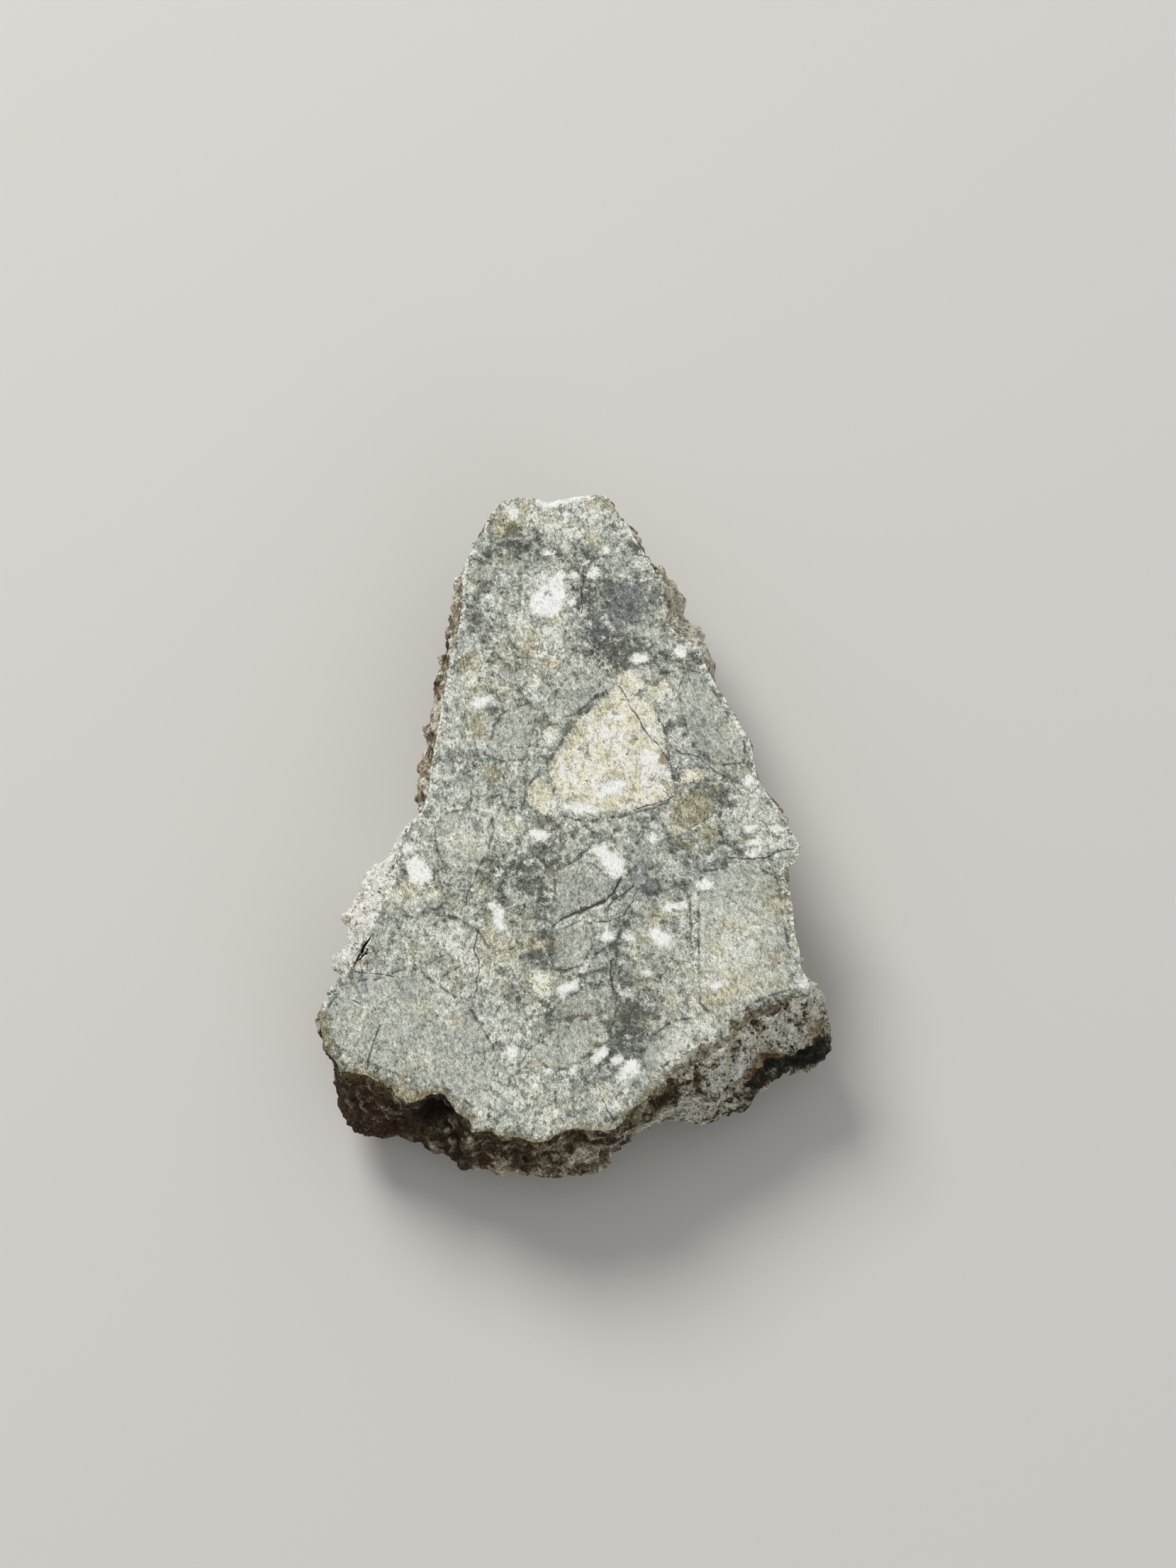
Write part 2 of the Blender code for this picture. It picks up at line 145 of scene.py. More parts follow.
# Even grey clasts with fine grain
EVEN_CLASTS = {
    "above the cream one": [(-1.1, 3.0), (-0.75, 3.65), (-0.15, 3.9), (0.45, 3.8), (0.35, 3.25), (0.0, 2.8),
                            (-0.4, 2.45), (-0.75, 2.35), (-1.05, 2.55)],
    "left of the cream one": [(-2.85, 2.4), (-2.55, 2.6), (-1.85, 2.85), (-1.7, 2.3), (-1.85, 1.5),
                              (-2.05, 0.85), (-2.8, 0.8), (-3.35, 1.05), (-3.1, 1.65), (-2.9, 2.1)],
    "left": [(-4.7, -1.05), (-3.95, -0.85), (-3.15, -1.0), (-3.0, -1.55), (-3.2, -2.3), (-3.45, -2.8),
             (-4.05, -3.05), (-4.55, -2.8), (-4.8, -2.3), (-4.9, -1.55)],
    "centre": [(-1.05, -3.0), (-0.35, -2.6), (0.2, -2.75), (0.55, -3.15), (1.0, -3.25), (1.25, -3.45),
               (0.75, -3.8), (0.0, -4.2), (-0.55, -4.4), (-1.05, -4.5)],
    "under the centre one": [(-0.95, -5.0), (-0.2, -4.65), (0.15, -4.8), (0.25, -5.15), (0.1, -5.65),
                             (-0.2, -6.15), (-0.75, -6.35), (-1.1, -6.2), (-1.15, -5.4)],
    "beside the centre one": [(1.45, -2.5), (1.75, -2.3), (2.1, -2.4), (2.2, -2.75), (1.8, -3.0),
                              (1.5, -2.85)],
    "low middle": [(-0.85, -7.35), (-0.25, -7.0), (0.45, -6.9), (0.95, -7.1), (0.85, -7.55), (0.25, -7.8),
                   (-0.4, -7.85), (-0.95, -8.0), (-1.2, -7.8)],
    "wedge": [(-0.95, -8.1), (-0.4, -7.95), (0.25, -7.95), (0.65, -8.15), (0.35, -8.65), (-0.1, -9.2),
              (-0.65, -9.6), (-1.25, -9.55), (-1.7, -9.2), (-1.3, -8.55)],
    "lower right": [(1.95, -8.55), (2.7, -8.0), (3.35, -7.9), (3.55, -8.3), (3.05, -8.95), (2.3, -9.55),
                    (1.85, -9.8), (1.7, -9.2)],
    "right field": [(3.15, 4.0), (3.7, 3.85), (4.2, 3.0), (4.7, 2.1), (5.05, 1.4), (5.0, 0.75),
                    (4.15, 0.65), (3.45, 1.25), (3.05, 2.35), (2.95, 3.35)],
    "upper left": [(-2.8, 7.9), (-2.4, 8.05), (-2.0, 7.85), (-2.1, 7.45), (-2.5, 7.35), (-2.8, 7.55)],
    "lower left field": [(-7.6, -6.7), (-6.6, -6.6), (-5.6, -6.2), (-4.6, -6.9), (-3.7, -7.6), (-2.9, -9.0),
                         (-3.1, -11.2), (-4.3, -10.3), (-6.4, -9.6), (-8.0, -8.8), (-8.2, -7.6)],
    "lower right field": [(3.6, -3.0), (5.2, -2.75), (6.0, -3.2), (6.2, -4.6), (6.4, -6.0), (6.5, -6.9),
                          (5.4, -7.3), (4.2, -8.1), (3.5, -7.4), (3.5, -5.4), (3.5, -4.0)],
}

# Small marks: (x, y, half width, half height, turn in degrees)
WHITE_SPOTS = [
    (3.0, 4.65, 0.2, 0.17, 20), (-2.2, -1.2, 0.11, 0.1, 0), (0.2, 7.45, 0.2, 0.15, 30),
    (1.95, 0.9, 0.36, 0.29, -40), (0.9, -0.1, 0.39, 0.22, 20), (1.65, 4.4, 0.27, 0.15, 10),
    (-0.5, -9.65, 0.14, 0.12, 0), (0.95, -9.3, 0.18, 0.15, 0), (1.35, -9.55, 0.32, 0.25, 60),
    (1.1, -9.85, 0.18, 0.17, 0), (5.15, -1.55, 0.2, 0.1, 20), (5.4, -2.0, 0.27, 0.1, 0),
    (5.3, -2.35, 0.23, 0.12, 10), (6.05, -1.55, 0.27, 0.1, 0), (5.15, 0.1, 0.16, 0.2, 0),
    (1.3, -5.2, 0.16, 0.15, 0), (0.65, -5.2, 0.18, 0.17, 0), (1.9, -6.45, 0.11, 0.1, 30),
    (2.1, -1.85, 0.14, 0.15, 0), (-3.05, -4.15, 0.11, 0.1, 0), (-5.7, -2.2, 0.23, 0.15, 40),
    (-0.2, 6.0, 0.07, 0.12, 0), (-0.45, 7.35, 0.11, 0.2, 0), (-3.5, 2.85, 0.41, 0.15, 25),
    (3.75, -3.45, 0.27, 0.2, 0), (6.85, -6.75, 0.14, 0.25, 0), (4.15, -6.8, 0.23, 0.12, 30),
    (-0.6, -11.5, 0.25, 0.1, 0), (0.45, -11.55, 0.27, 0.1, 0), (-0.55, 6.45, 0.11, 0.12, 0),
    (-2.45, 9.6, 0.14, 0.15, 0), (-1.35, 8.2, 0.14, 0.12, 0), (0.55, 8.25, 0.14, 0.12, 0),
]
DARK_SPOTS = [
    (0.0, 1.0, 0.09, 0.1, 0), (-0.2, 1.2, 0.09, 0.07, 0), (1.45, 1.55, 0.09, 0.1, 0),
    (2.05, 0.15, 0.07, 0.07, 0), (0.45, 0.1, 0.07, 0.07, 0), (2.45, 0.85, 0.2, 0.15, 30),
    (2.45, 0.05, 0.11, 0.07, -30), (0.85, 2.5, 0.09, 0.04, -35), (1.75, 1.95, 0.09, 0.1, 0),
    (1.35, -0.55, 0.07, 0.05, 0), (-2.2, 6.9, 0.14, 0.12, 0), (-1.7, 8.9, 0.09, 0.07, 0),
    (-2.5, 9.0, 0.2, 0.17, 20), (-3.55, -1.45, 0.14, 0.24, 0), (-1.5, -1.3, 0.3, 0.2, 0),
    (-0.65, 2.05, 0.25, 0.15, 40), (-1.3, 0.9, 0.2, 0.15, 20), (2.6, 2.0, 0.14, 0.29, 5),
    (4.75, 0.1, 0.23, 0.07, -35), (-1.55, -2.25, 0.3, 0.25, 0), (0.25, -1.75, 0.25, 0.1, 15),
    (0.9, -1.55, 0.14, 0.1, 0), (2.0, -3.55, 0.34, 0.29, 20), (-2.65, -6.4, 0.18, 0.15, 0),
    (-1.6, -5.8, 0.34, 0.12, 10), (-1.4, -6.05, 0.11, 0.22, 0), (2.75, -4.9, 0.11, 0.15, 0),
    (2.35, -4.7, 0.09, 0.07, 0), (3.0, 2.2, 0.2, 0.17, 0), (1.15, -10.65, 0.14, 0.1, 0),
    (-2.1, 8.35, 0.32, 0.15, 20), (-1.3, 6.7, 0.13, 0.08, 10), (-3.55, -4.55, 0.09, 0.12, 0),
    (1.3, -7.95, 0.32, 0.25, 30), (5.15, -1.8, 0.18, 0.1, 15), (6.5, -2.0, 0.16, 0.07, -15),
    (0.8, -5.5, 0.14, 0.15, 0), (-7.6, -6.8, 0.06, 0.06, 0), (-3.05, 3.25, 0.11, 0.07, 30),
    (-2.15, 3.35, 0.14, 0.07, 40),
]

# Soft patches of tone and of tint: the same five numbers, and how strong each is
DARK_PATCHES = [
    (1.0, 6.4, 1.25, 1.27, -35, 1.5), (-3.0, 8.35, 0.91, 0.29, 20, 0.8), (-2.3, -2.95, 1.25, 0.86, 20, 1.0),
    (0.75, -5.6, 0.68, 1.1, -15, 1.0), (1.35, -8.0, 0.68, 0.86, 0, 1.2), (5.9, -7.5, 0.9, 0.35, 0, 0.7),
    (-3.2, 5.1, 0.91, 1.47, -10, 0.4), (3.9, -0.1, 0.91, 0.61, -30, 0.8), (-1.55, -5.75, 1.02, 0.49, 10, 0.9),
    (-2.45, -4.7, 1.02, 0.74, 0, 0.4), (-5.65, -2.9, 0.7, 0.6, 0, 0.6), (1.7, -3.15, 0.8, 0.61, 20, 0.7),
    (-4.3, 1.15, 0.91, 0.98, 0, 0.3), (-1.4, 8.15, 1.36, 0.74, 0, 0.3), (4.55, -2.05, 1.36, 0.86, 20, 0.5),
    (0.95, 4.75, 2.05, 0.49, -25, 0.8), (1.35, -8.95, 1.14, 0.98, 0, 0.7), (-1.4, -1.4, 0.8, 0.4, 0, 0.6),
    (-4.8, -4.4, 0.9, 0.35, -10, 0.7),
]
PALE_PATCHES = [
    (-1.6, 4.75, 1.02, 0.98, 0, 0.3), (-4.0, 3.6, 0.68, 0.98, 0, 0.5), (5.45, -0.95, 0.8, 0.86, -20, 0.9),
    (5.9, -1.8, 0.91, 0.37, 0, 0.5), (-3.95, -1.95, 1.14, 1.1, 0, 0.5), (-5.6, -3.9, 0.6, 0.35, -10, 1.3),
    (-4.65, -7.55, 1.59, 0.98, 0, 0.3), (4.7, -6.35, 1.36, 1.1, -40, 0.6), (2.65, -8.95, 1.14, 0.74, 40, 0.7),
    (-3.8, -5.75, 1.36, 0.74, -10, 0.5), (-2.05, 5.9, 0.91, 0.49, 30, 0.6), (-4.3, 0.0, 0.68, 0.98, 0, 0.4),
    (-4.8, 2.35, 0.45, 1.47, 0, 0.5), (4.05, -5.4, 1.14, 1.47, 0, 0.3), (-2.85, -10.35, 1.36, 0.98, 0, 0.4),
    (-0.85, -11.05, 1.14, 0.49, 0, 0.5), (0.0, 9.5, 2.2, 1.0, 0, 0.65),
]
WARM_PATCHES = [
    (3.2, -0.95, 1.02, 0.86, 0, 0.8), (-1.6, 4.6, 1.14, 1.1, 0, 0.8), (-3.9, 3.75, 0.68, 0.74, 0, 0.8),
    (-3.55, 2.0, 0.57, 0.61, 0, 0.8), (-5.85, -3.85, 1.02, 0.49, 20, 0.7), (-3.1, -5.65, 1.59, 0.98, 0, 0.6),
    (2.5, -4.7, 1.02, 1.23, 0, 0.7), (5.65, -4.45, 1.36, 1.47, -30, 0.5), (0.7, 10.25, 0.57, 0.49, 0, 0.6),
    (0.9, -8.25, 1.36, 1.23, 0, 0.3), (-1.55, -7.05, 1.36, 0.98, 0, 0.4), (-2.45, 8.95, 0.68, 0.74, 0, 0.5),
    (4.05, -6.85, 1.82, 1.23, 40, 0.5), (-5.7, -10.45, 0.65, 0.3, 0, 1.4),
]
COOL_PATCHES = [
    (1.0, 6.4, 1.25, 1.27, -35, 0.9), (-3.7, 5.9, 1.36, 1.47, 0, 0.4), (3.9, 1.85, 1.02, 1.47, -30, 0.5),
    (1.7, -3.4, 0.91, 0.86, 0, 0.8), (3.95, -3.6, 0.91, 0.74, 0, 0.8), (1.1, -9.55, 0.91, 0.74, 0, 0.7),
    (-4.3, 0.9, 1.02, 1.23, 0, 0.7), (-0.2, -3.75, 1.36, 0.74, 20, 0.5), (-2.9, -8.5, 1.59, 1.23, 0, 0.4),
    (-6.9, -6.85, 1.14, 0.74, 0, 0.5), (0.7, -5.55, 0.68, 0.98, 0, 0.7), (4.3, -2.55, 1.14, 0.49, 0, 0.6),
]

UNDER_THE_CENTRE = [(1.05, -3.15), (0.9, -3.55), (0.6, -3.95), (0.0, -4.25), (-0.75, -4.55), (-1.1, -4.85)]
# Hairline cracks in the sawn face: half width of the dark line, and the way it runs
CRACKS = {
    "beside the top white one": (0.018, [(-0.15, 7.7), (-0.15, 7.35), (-0.2, 6.8), (-0.2, 6.0)]),
    "above the cream one": (0.014, [(0.1, 5.55), (0.25, 5.4), (0.45, 5.25)]),
    "through the cream one": (0.018, [(1.0, 3.45), (1.2, 3.15), (1.35, 2.75), (1.6, 2.35), (1.75, 2.0),
                                      (2.0, 1.65), (2.25, 1.4), (2.45, 1.1), (2.6, 0.8)]),
    "below the cream one": (0.018, [(2.8, -0.4), (2.4, -0.6), (1.9, -0.75), (1.45, -0.9)]),
    "inside the cream one": (0.014, [(2.4, -0.2), (2.55, -0.3), (2.65, -0.45)]),
    "towards the right edge": (0.018, [(2.7, 1.25), (3.0, 1.1), (3.55, 0.95), (3.95, 0.55), (4.45, 0.25),
                                       (4.95, 0.0)]),
    "under the olive one": (0.016, [(3.95, -1.1), (3.65, -1.25), (3.3, -1.5)]),
    "right point": (0.018, [(4.5, -2.55), (5.2, -2.55), (5.7, -2.5), (6.0, -2.3), (6.25, -2.25),
                            (6.55, -2.2)]),
    "under the centre one": (0.018, UNDER_THE_CENTRE),
    "second of the centre": (0.016, [(1.45, -3.45), (1.15, -3.7), (0.75, -4.05), (0.55, -4.3)]),
    "third of the centre": (0.016, [(1.45, -3.95), (1.15, -4.45), (0.7, -4.65), (0.25, -4.7)]),
    "down the dark zone": (0.016, [(0.75, -6.0), (0.7, -6.4), (0.8, -6.95)]),
    "across the dark zone": (0.016, [(0.15, -5.8), (0.45, -5.65), (0.75, -5.45)]),
    "fragment's spur": (0.014, [(3.3, -4.8), (3.5, -4.65)]),
    "mottled region": (0.016, [(-3.5, -2.85), (-3.55, -3.25), (-3.75, -3.55), (-3.85, -3.85),
                               (-3.85, -4.15)]),
    "down from it": (0.016, [(-3.5, -5.0), (-3.55, -5.3), (-3.6, -5.65), (-3.4, -6.05), (-3.45, -6.4),
                             (-3.55, -7.05)]),
    "left branch": (0.014, [(-5.05, -6.15), (-4.8, -5.95), (-4.45, -5.8)]),
    "lower left branch": (0.014, [(-4.7, -6.7), (-4.45, -6.45), (-4.1, -6.2)]),
    "left field": (0.024, [(-6.55, -8.15), (-6.65, -8.5), (-6.75, -8.8), (-6.85, -9.15), (-6.9, -9.6)]),
    "from the open crack": (0.018, [(-7.35, -6.35), (-7.05, -6.4), (-6.55, -6.45), (-6.1, -6.55)]),
    "dashes at the left": (0.014, [(-7.7, -7.25), (-7.35, -7.35), (-7.05, -7.5)]),
    "low left": (0.016, [(-1.75, -8.85), (-1.9, -9.1), (-2.05, -9.35)]),
    "bottom": (0.014, [(0.45, -10.6), (0.65, -11.0), (0.85, -11.25)]),
    "left grey one": (0.014, [(-2.3, 1.3), (-2.2, 1.25), (-2.1, 1.3)]),
    "left olive patch": (0.014, [(-3.85, 0.35), (-3.65, 0.6), (-3.45, 0.85)]),
}
# Soft dark seams between clasts, in the same way
SEAMS = {
    "left of the cream one": (0.085, [(0.6, 3.2), (0.15, 2.95), (0.0, 2.55), (-0.35, 2.1), (-0.65, 1.8),
                                    (-0.9, 1.3), (-1.2, 0.9)]),
    "right of the cream one": (0.06, [(2.2, 2.55), (2.35, 2.0), (2.5, 1.55), (2.6, 0.9), (2.8, 0.0)]),
    "under the cream one": (0.05, [(2.8, -0.5), (2.1, -0.85), (1.0, -1.1), (0.0, -1.3), (-0.9, -1.1)]),
    "left of the round one": (0.05, [(-1.55, 0.4), (-1.85, 0.05), (-2.0, -0.5), (-2.05, -0.8)]),
    "below the middle": (0.07, [(-1.1, -2.9), (-0.75, -2.75), (-0.3, -2.5), (0.05, -2.15)]),
    "under the centre one": (0.06, UNDER_THE_CENTRE),
    "dark zone": (0.075, [(1.25, -4.65), (1.0, -5.1), (0.8, -5.45), (0.95, -5.75), (0.75, -6.6),
                          (0.9, -7.4)]),
    "left of the dark zone": (0.07, [(-1.15, -5.0), (-1.2, -5.7), (-1.1, -6.3), (-0.3, -6.5), (0.5, -6.3)]),
    "right of the fragment": (0.05, [(3.2, -3.8), (3.25, -4.45), (3.25, -5.2), (3.3, -5.55)]),
    "beside the yellow one": (0.05, [(-0.85, -7.3), (-1.1, -7.65), (-1.35, -8.05)]),
    "left of the grey one": (0.05, [(-2.85, 2.45), (-3.0, 2.1), (-3.05, 1.8), (-3.1, 1.55)]),
    "over the lower left field": (0.05, [(-4.9, -4.4), (-4.1, -4.6), (-3.5, -5.0), (-3.0, -5.7),
                                         (-2.2, -5.6)]),
    "right of the olive one": (0.06, [(4.0, -0.1), (4.3, -0.7), (4.1, -1.3), (4.4, -2.0), (5.2, -2.4)]),
    "from the dark zone to the bottom": (0.05, [(0.95, -7.6), (0.7, -8.3), (0.75, -9.0), (0.2, -9.9)]),
}
RED_VEIN = [(-0.75, -8.05), (-0.3, -7.85), (0.25, -7.85), (0.7, -7.6), (1.05, -7.55), (1.45, -7.5)]
# The open crack at the left edge is two gaping slits with a bright sliver between them
SLITS = {
    "outer": (0.045, [(-6.84, -5.12), (-6.91, -5.27), (-7.02, -5.43), (-7.12, -5.6), (-7.22, -5.8),
                      (-7.29, -5.97), (-7.36, -6.12)]),
    "inner": (0.028, [(-6.94, -5.62), (-7.02, -5.73), (-7.1, -5.84), (-7.18, -5.96)]),
}

# Stains, bare places, painted glints and shade of the skin: (x, y, depth), how far each reaches, and how
# strong it is
RUST_PLACES = [
    ((4.45, -9.75, 1.35), 0.33, 0.8), ((4.8, -9.5, 1.35), 0.35, 0.9), ((5.15, -9.2, 1.3), 0.36, 0.9),
    ((5.5, -8.95, 1.3), 0.36, 0.9), ((5.85, -8.75, 1.3), 0.35, 0.8), ((6.2, -8.6, 1.3), 0.33, 0.7),
    ((7.3, -7.9, 1.2), 0.5, 0.8), ((7.6, -8.1, 1.5), 0.4, 0.8), ((-6.55, -9.95, 0.15), 0.16, 1.0),
    ((-6.8, -9.95, 0.15), 0.13, 0.7),
]
# Black under the lip, at its tip and in the hollow at the front left: partly a dark crust, partly painted
# shade in the undercuts
BLACK_CRUST_AND_SHADE_PLACES = [
    ((6.2, -8.8, 1.9), 0.6, 1.2), ((7.7, -8.4, 2.3), 0.7, 0.9), ((-4.85, -10.6, 1.3), 0.6, 1.0),
    ((5.2, -9.5, 2.2), 0.6, 0.4), ((7.75, -8.35, 1.7), 0.35, 0.5), ((6.9, -8.55, 1.9), 0.5, 0.8),
]
# Dark blotches of the slope at the right, under the rim
DARK_PLACES = [
    ((6.0, -7.4, 0.3), 0.45, 1.2), ((6.7, -7.2, 0.4), 0.4, 1.1), ((5.3, -8.1, 0.3), 0.4, 1.0),
    ((4.4, -8.9, 0.35), 0.4, 0.9), ((3.4, -9.8, 0.5), 0.45, 1.0), ((2.4, -10.6, 0.6), 0.45, 1.0),
    ((5.7, -8.2, 0.9), 0.3, 0.6), ((3.9, -9.9, 1.2), 0.3, 0.6),
]
# White on the skin: the first two places are a painted highlight, a glint on the lip; the others whiten the
# right corner
WHITE_PLACES = [
    ((4.65, -9.45, 0.95), 0.26, 1.6), ((4.9, -9.25, 0.9), 0.26, 1.6), ((7.05, -6.95, 0.3), 0.3, 0.8),
    ((6.85, -6.3, 0.2), 0.2, 0.7), ((7.4, -7.1, 0.8), 0.25, 0.6),
]
GREY_PLACES = [
    ((6.2, -7.8, 0.6), 1.1, 1.0), ((5.2, -8.6, 0.7), 0.9, 1.0), ((4.2, -9.5, 0.9), 0.8, 1.0),
    ((3.0, -10.3, 1.6), 1.2, 1.0), ((1.9, -11.0, 1.9), 1.0, 0.9), ((7.4, -6.6, 1.2), 0.9, 0.9),
    ((0.2, -11.8, 3.0), 1.2, 0.5), ((-2.0, -11.8, 3.0), 1.3, 0.5), ((6.6, -4.5, 2.0), 2.5, 0.8),
    ((6.0, -1.0, 2.0), 2.0, 0.7), ((5.0, 2.5, 2.0), 2.0, 0.7), ((-0.8, 10.3, 1.6), 2.4, 0.8),
    ((3.4, 6.3, 1.5), 1.7, 1.3), ((4.2, 4.6, 1.5), 1.0, 0.8),
]
# Yellowish crumbs just under the front rim
FRINGE_PLACES = [
    ((-7.3, -9.85, 0.12), 0.5, 0.9), ((-6.3, -10.2, 0.15), 0.35, 0.7), ((-3.4, -11.6, 0.15), 0.5, 0.8),
    ((-1.9, -11.95, 0.12), 0.5, 0.7), ((-0.3, -11.7, 0.12), 0.5, 0.6), ((1.2, -11.1, 0.12), 0.5, 0.9),
    ((2.1, -10.3, 0.12), 0.35, 0.7), ((-4.6, -10.6, 0.12), 0.3, 0.5),
]
# Where the skin swells or draws in: (x, y, depth), how far it reaches, and the way it goes
SWELLINGS = [
    ((7.9, -8.45, 2.0), 0.35, (0.22, -0.04, 0.0)),
    ((6.7, -2.9, 0.9), 0.8, (-0.35, 0.0, 0.0)),
]


def paint(red, green, blue):
    """An 8-bit screen colour as Blender's linear colour."""
    linear = []
    for level in (red, green, blue):
        share = level / 255
        linear.append(share / 12.92 if share <= 0.04045 else ((share + 0.055) / 1.055) ** 2.4)
    return (*linear, 1.0)


def colour(name, description, red, green, blue):
    return FloatVectorProperty(name=name, description=description, subtype="COLOR", size=4, min=0.0, max=1.0,
                               default=paint(red, green, blue))


def length(name, description, millimetres):
    return FloatProperty(name=name, description=description, unit="LENGTH", precision=6, min=0.0,
                         default=millimetres * MM)


class MeteoriteSizes(bpy.types.PropertyGroup):
    """Sizes of the stone's surface."""

    face_pitch: length("Face pitch", "Distance between the mesh points of the sawn face", 0.076)
    rim_raggedness: length("Rim raggedness", "How far the sawn rim strays in and out", 0.035)
    chip_width: length("Chip width", "How far the small chips reach in from the rim", 0.14)
    chip_depth: length("Chip depth", "How deep the chips along the rim are", 0.07)
    crack_depth: length("Crack depth", "How deep the fine cracks are", 0.022)
    slit_depth: length("Open crack depth", "How deep the open crack at the left edge is", 0.8)
    pit_depth: length("Pit depth", "How deep the pits in the sawn face are", 0.05)
    lump_size: length("Lump size", "Size of the lumps on the broken skin", 0.9)
    lump_height: length("Lump height", "Height of the lumps on the broken skin", 0.13)
    facet_size: length("Facet size", "Size of the broken grains on the skin", 0.42)
    facet_height: length("Facet height", "How far the broken grains stand out", 0.12)
    crumb_size: length("Crumb size", "Size of the finest crumbs that are real shapes", 0.22)
    crumb_height: length("Crumb height", "Height of those crumbs", 0.07)
    mound_size: length("Mound size", "Size of the round crumbs on the left flank", 0.36)
    mound_height: length("Mound height", "Height of those round crumbs", 0.12)
    grain: length("Grain", "Distance between the needles of the grain", 0.13)
    fine_grain: length("Fine grain", "Distance between the finest needles", 0.06)


class MeteoriteColours(bpy.types.PropertyGroup):
    """Colours of the rock."""

    matrix_dark: colour("Dark matrix", "Dark parts of the ground mass", 86, 89, 81)
    matrix_mid: colour("Matrix", "The ground mass", 168, 171, 159)
    matrix_pale: colour("Pale matrix", "Pale parts of the ground mass", 214, 215, 202)
    warm: colour("Warm tint", "Beige and olive tint of the ground mass", 178, 168, 134)
    cool: colour("Cool tint", "Blue-grey tint of the ground mass", 138, 147, 148)
    pale_fleck: colour("Pale fleck", "The brightest grains", 244, 244, 233)
    dark_fleck: colour("Dark fleck", "The darkest grains", 66, 70, 63)
    white: colour("White clasts", "Feldspar clasts", 246, 247, 241)
    cream: colour("Cream clasts", "Cream clasts", 234, 227, 198)
    olive: colour("Olive clasts", "Olive-brown clasts", 142, 136, 108)
    brown: colour("Brown grains", "Brown grains in the cream clasts", 112, 96, 66)
    crack: colour("Cracks", "Inside of the cracks", 44, 38, 27)
    vein: colour("Vein", "The thin reddish vein", 122, 98, 84)
    broken_dark: colour("Broken dark", "Dark parts of the broken skin", 56, 40, 28)
    broken_grey: colour("Broken grey", "Grey parts of the broken skin", 126, 116, 95)
    broken_pale: colour("Broken pale", "Pale parts of the broken skin", 216, 210, 188)
    dust: colour("Dust", "Pale dust on the left flank", 248, 243, 227)
    # Darker dust in the hollows, partly painted shade between the crumbs
    dark_dust_and_shade: colour("Dark dust", "Dust in the hollows", 114, 95, 70)
    rust: colour("Rust", "Rusty stain", 130, 84, 34)
    fringe: colour("Fringe", "Yellowish crumbs under the front rim", 104, 92, 52)
    # Black of the deep hollows and the open crack: painted shade, under the lip partly a dark crust as well
    black: colour("Black", "Deep hollows", 14, 9, 4)


class MeteoriteStage(bpy.types.PropertyGroup):
    """Camera, light and floor."""

    lens: FloatProperty(name="Lens", description="Focal length of the camera", default=100.0, min=1.0,
                        unit="CAMERA")
    distance: length("Camera distance", "From the camera to the sawn face", 139.7)
    elevation: FloatProperty(name="Elevation", description="Height of the camera over the level",
                             subtype="ANGLE", default=math.radians(68))
    floor: colour("Floor", "The plain floor", 204, 201, 196)
    floor_size: length("Floor size", "Side of the square floor", 1600.0)
    key: FloatProperty(name="Key light", description="Power of the main soft light", unit="POWER",
                       default=0.84, min=0.0)
    fill: FloatProperty(name="Fill light", description="Power of the weak light in front", unit="POWER",
                        default=0.1, min=0.0)
    sky: FloatProperty(name="Sky", description="Strength of the even light all round", default=0.46, min=0.0)


def smooth_step(value):
    value = np.clip(value, 0.0, 1.0)
    return value * value * (3.0 - 2.0 * value)


def fractal(places, size, octaves=4, layer=0.0):
    """Even fractal noise of about -1 to 1, with features of the given size."""
    shift = Vector((layer, 1.7 * layer, 2.3 * layer))
    return np.array([noise.fractal(Vector(place) / size + shift, 0.9, 2.1, octaves) for place in places])


def on_plane(places, layer=0.0):
    """The same places with their depth left out, for noise over the sawn face."""
    return np.column_stack([places[:, :2], np.full(len(places), layer)])


def cells(places, size, layer=0.0):
    """Distance to the nearest cell centre, to the next one, and that centre, all in cell sizes."""
    shift = Vector((layer, 1.3 * layer, 0.6 * layer))
    near, second, centres, inside = [], [], [], []
    for place in places:
        spot = Vector(place) / size + shift
        distances, points = noise.voronoi(spot)
        near.append(distances[0])
        second.append(distances[1])
        centres.append(points[0])
        inside.append(spot - points[0])
    return np.array(near), np.array(second), centres, np.array(inside)


def line_distance(places, points, closed=False):
    """Distance in XY from each place to a line through the points."""
    nearest = np.full(len(places), np.inf)
    ends = points[1:] + points[:1] if closed else points[1:]
    for (ax, ay), (bx, by) in zip(points, ends):
        along = np.array([bx - ax, by - ay])
        share = ((places[:, 0] - ax) * along[0] + (places[:, 1] - ay) * along[1]) / max(along @ along, 1e-12)
        share = np.clip(share, 0.0, 1.0)
        apart = np.hypot(places[:, 0] - ax - share * along[0], places[:, 1] - ay - share * along[1])
        nearest = np.minimum(nearest, apart)
    return nearest


def inside_loop(places, points):
    """Whether each place lies inside the closed loop."""
    odd = np.zeros(len(places), dtype=bool)
    for (ax, ay), (bx, by) in zip(points, points[1:] + points[:1]):
        if ay == by:
            continue
        crosses = (ay > places[:, 1]) != (by > places[:, 1])
        odd ^= crosses & (places[:, 0] < (bx - ax) * (places[:, 1] - ay) / (by - ay) + ax)
    return odd


def outline_depth(places, outlines):
    """How far inside the nearest of these outlines each place lies; outside it is negative."""
    deepest = np.full(len(places), -FAR)
    for points in outlines:
        signed = np.where(inside_loop(places, points), 1.0, -1.0) * line_distance(places, points, closed=True)
        deepest = np.maximum(deepest, signed)
    return deepest


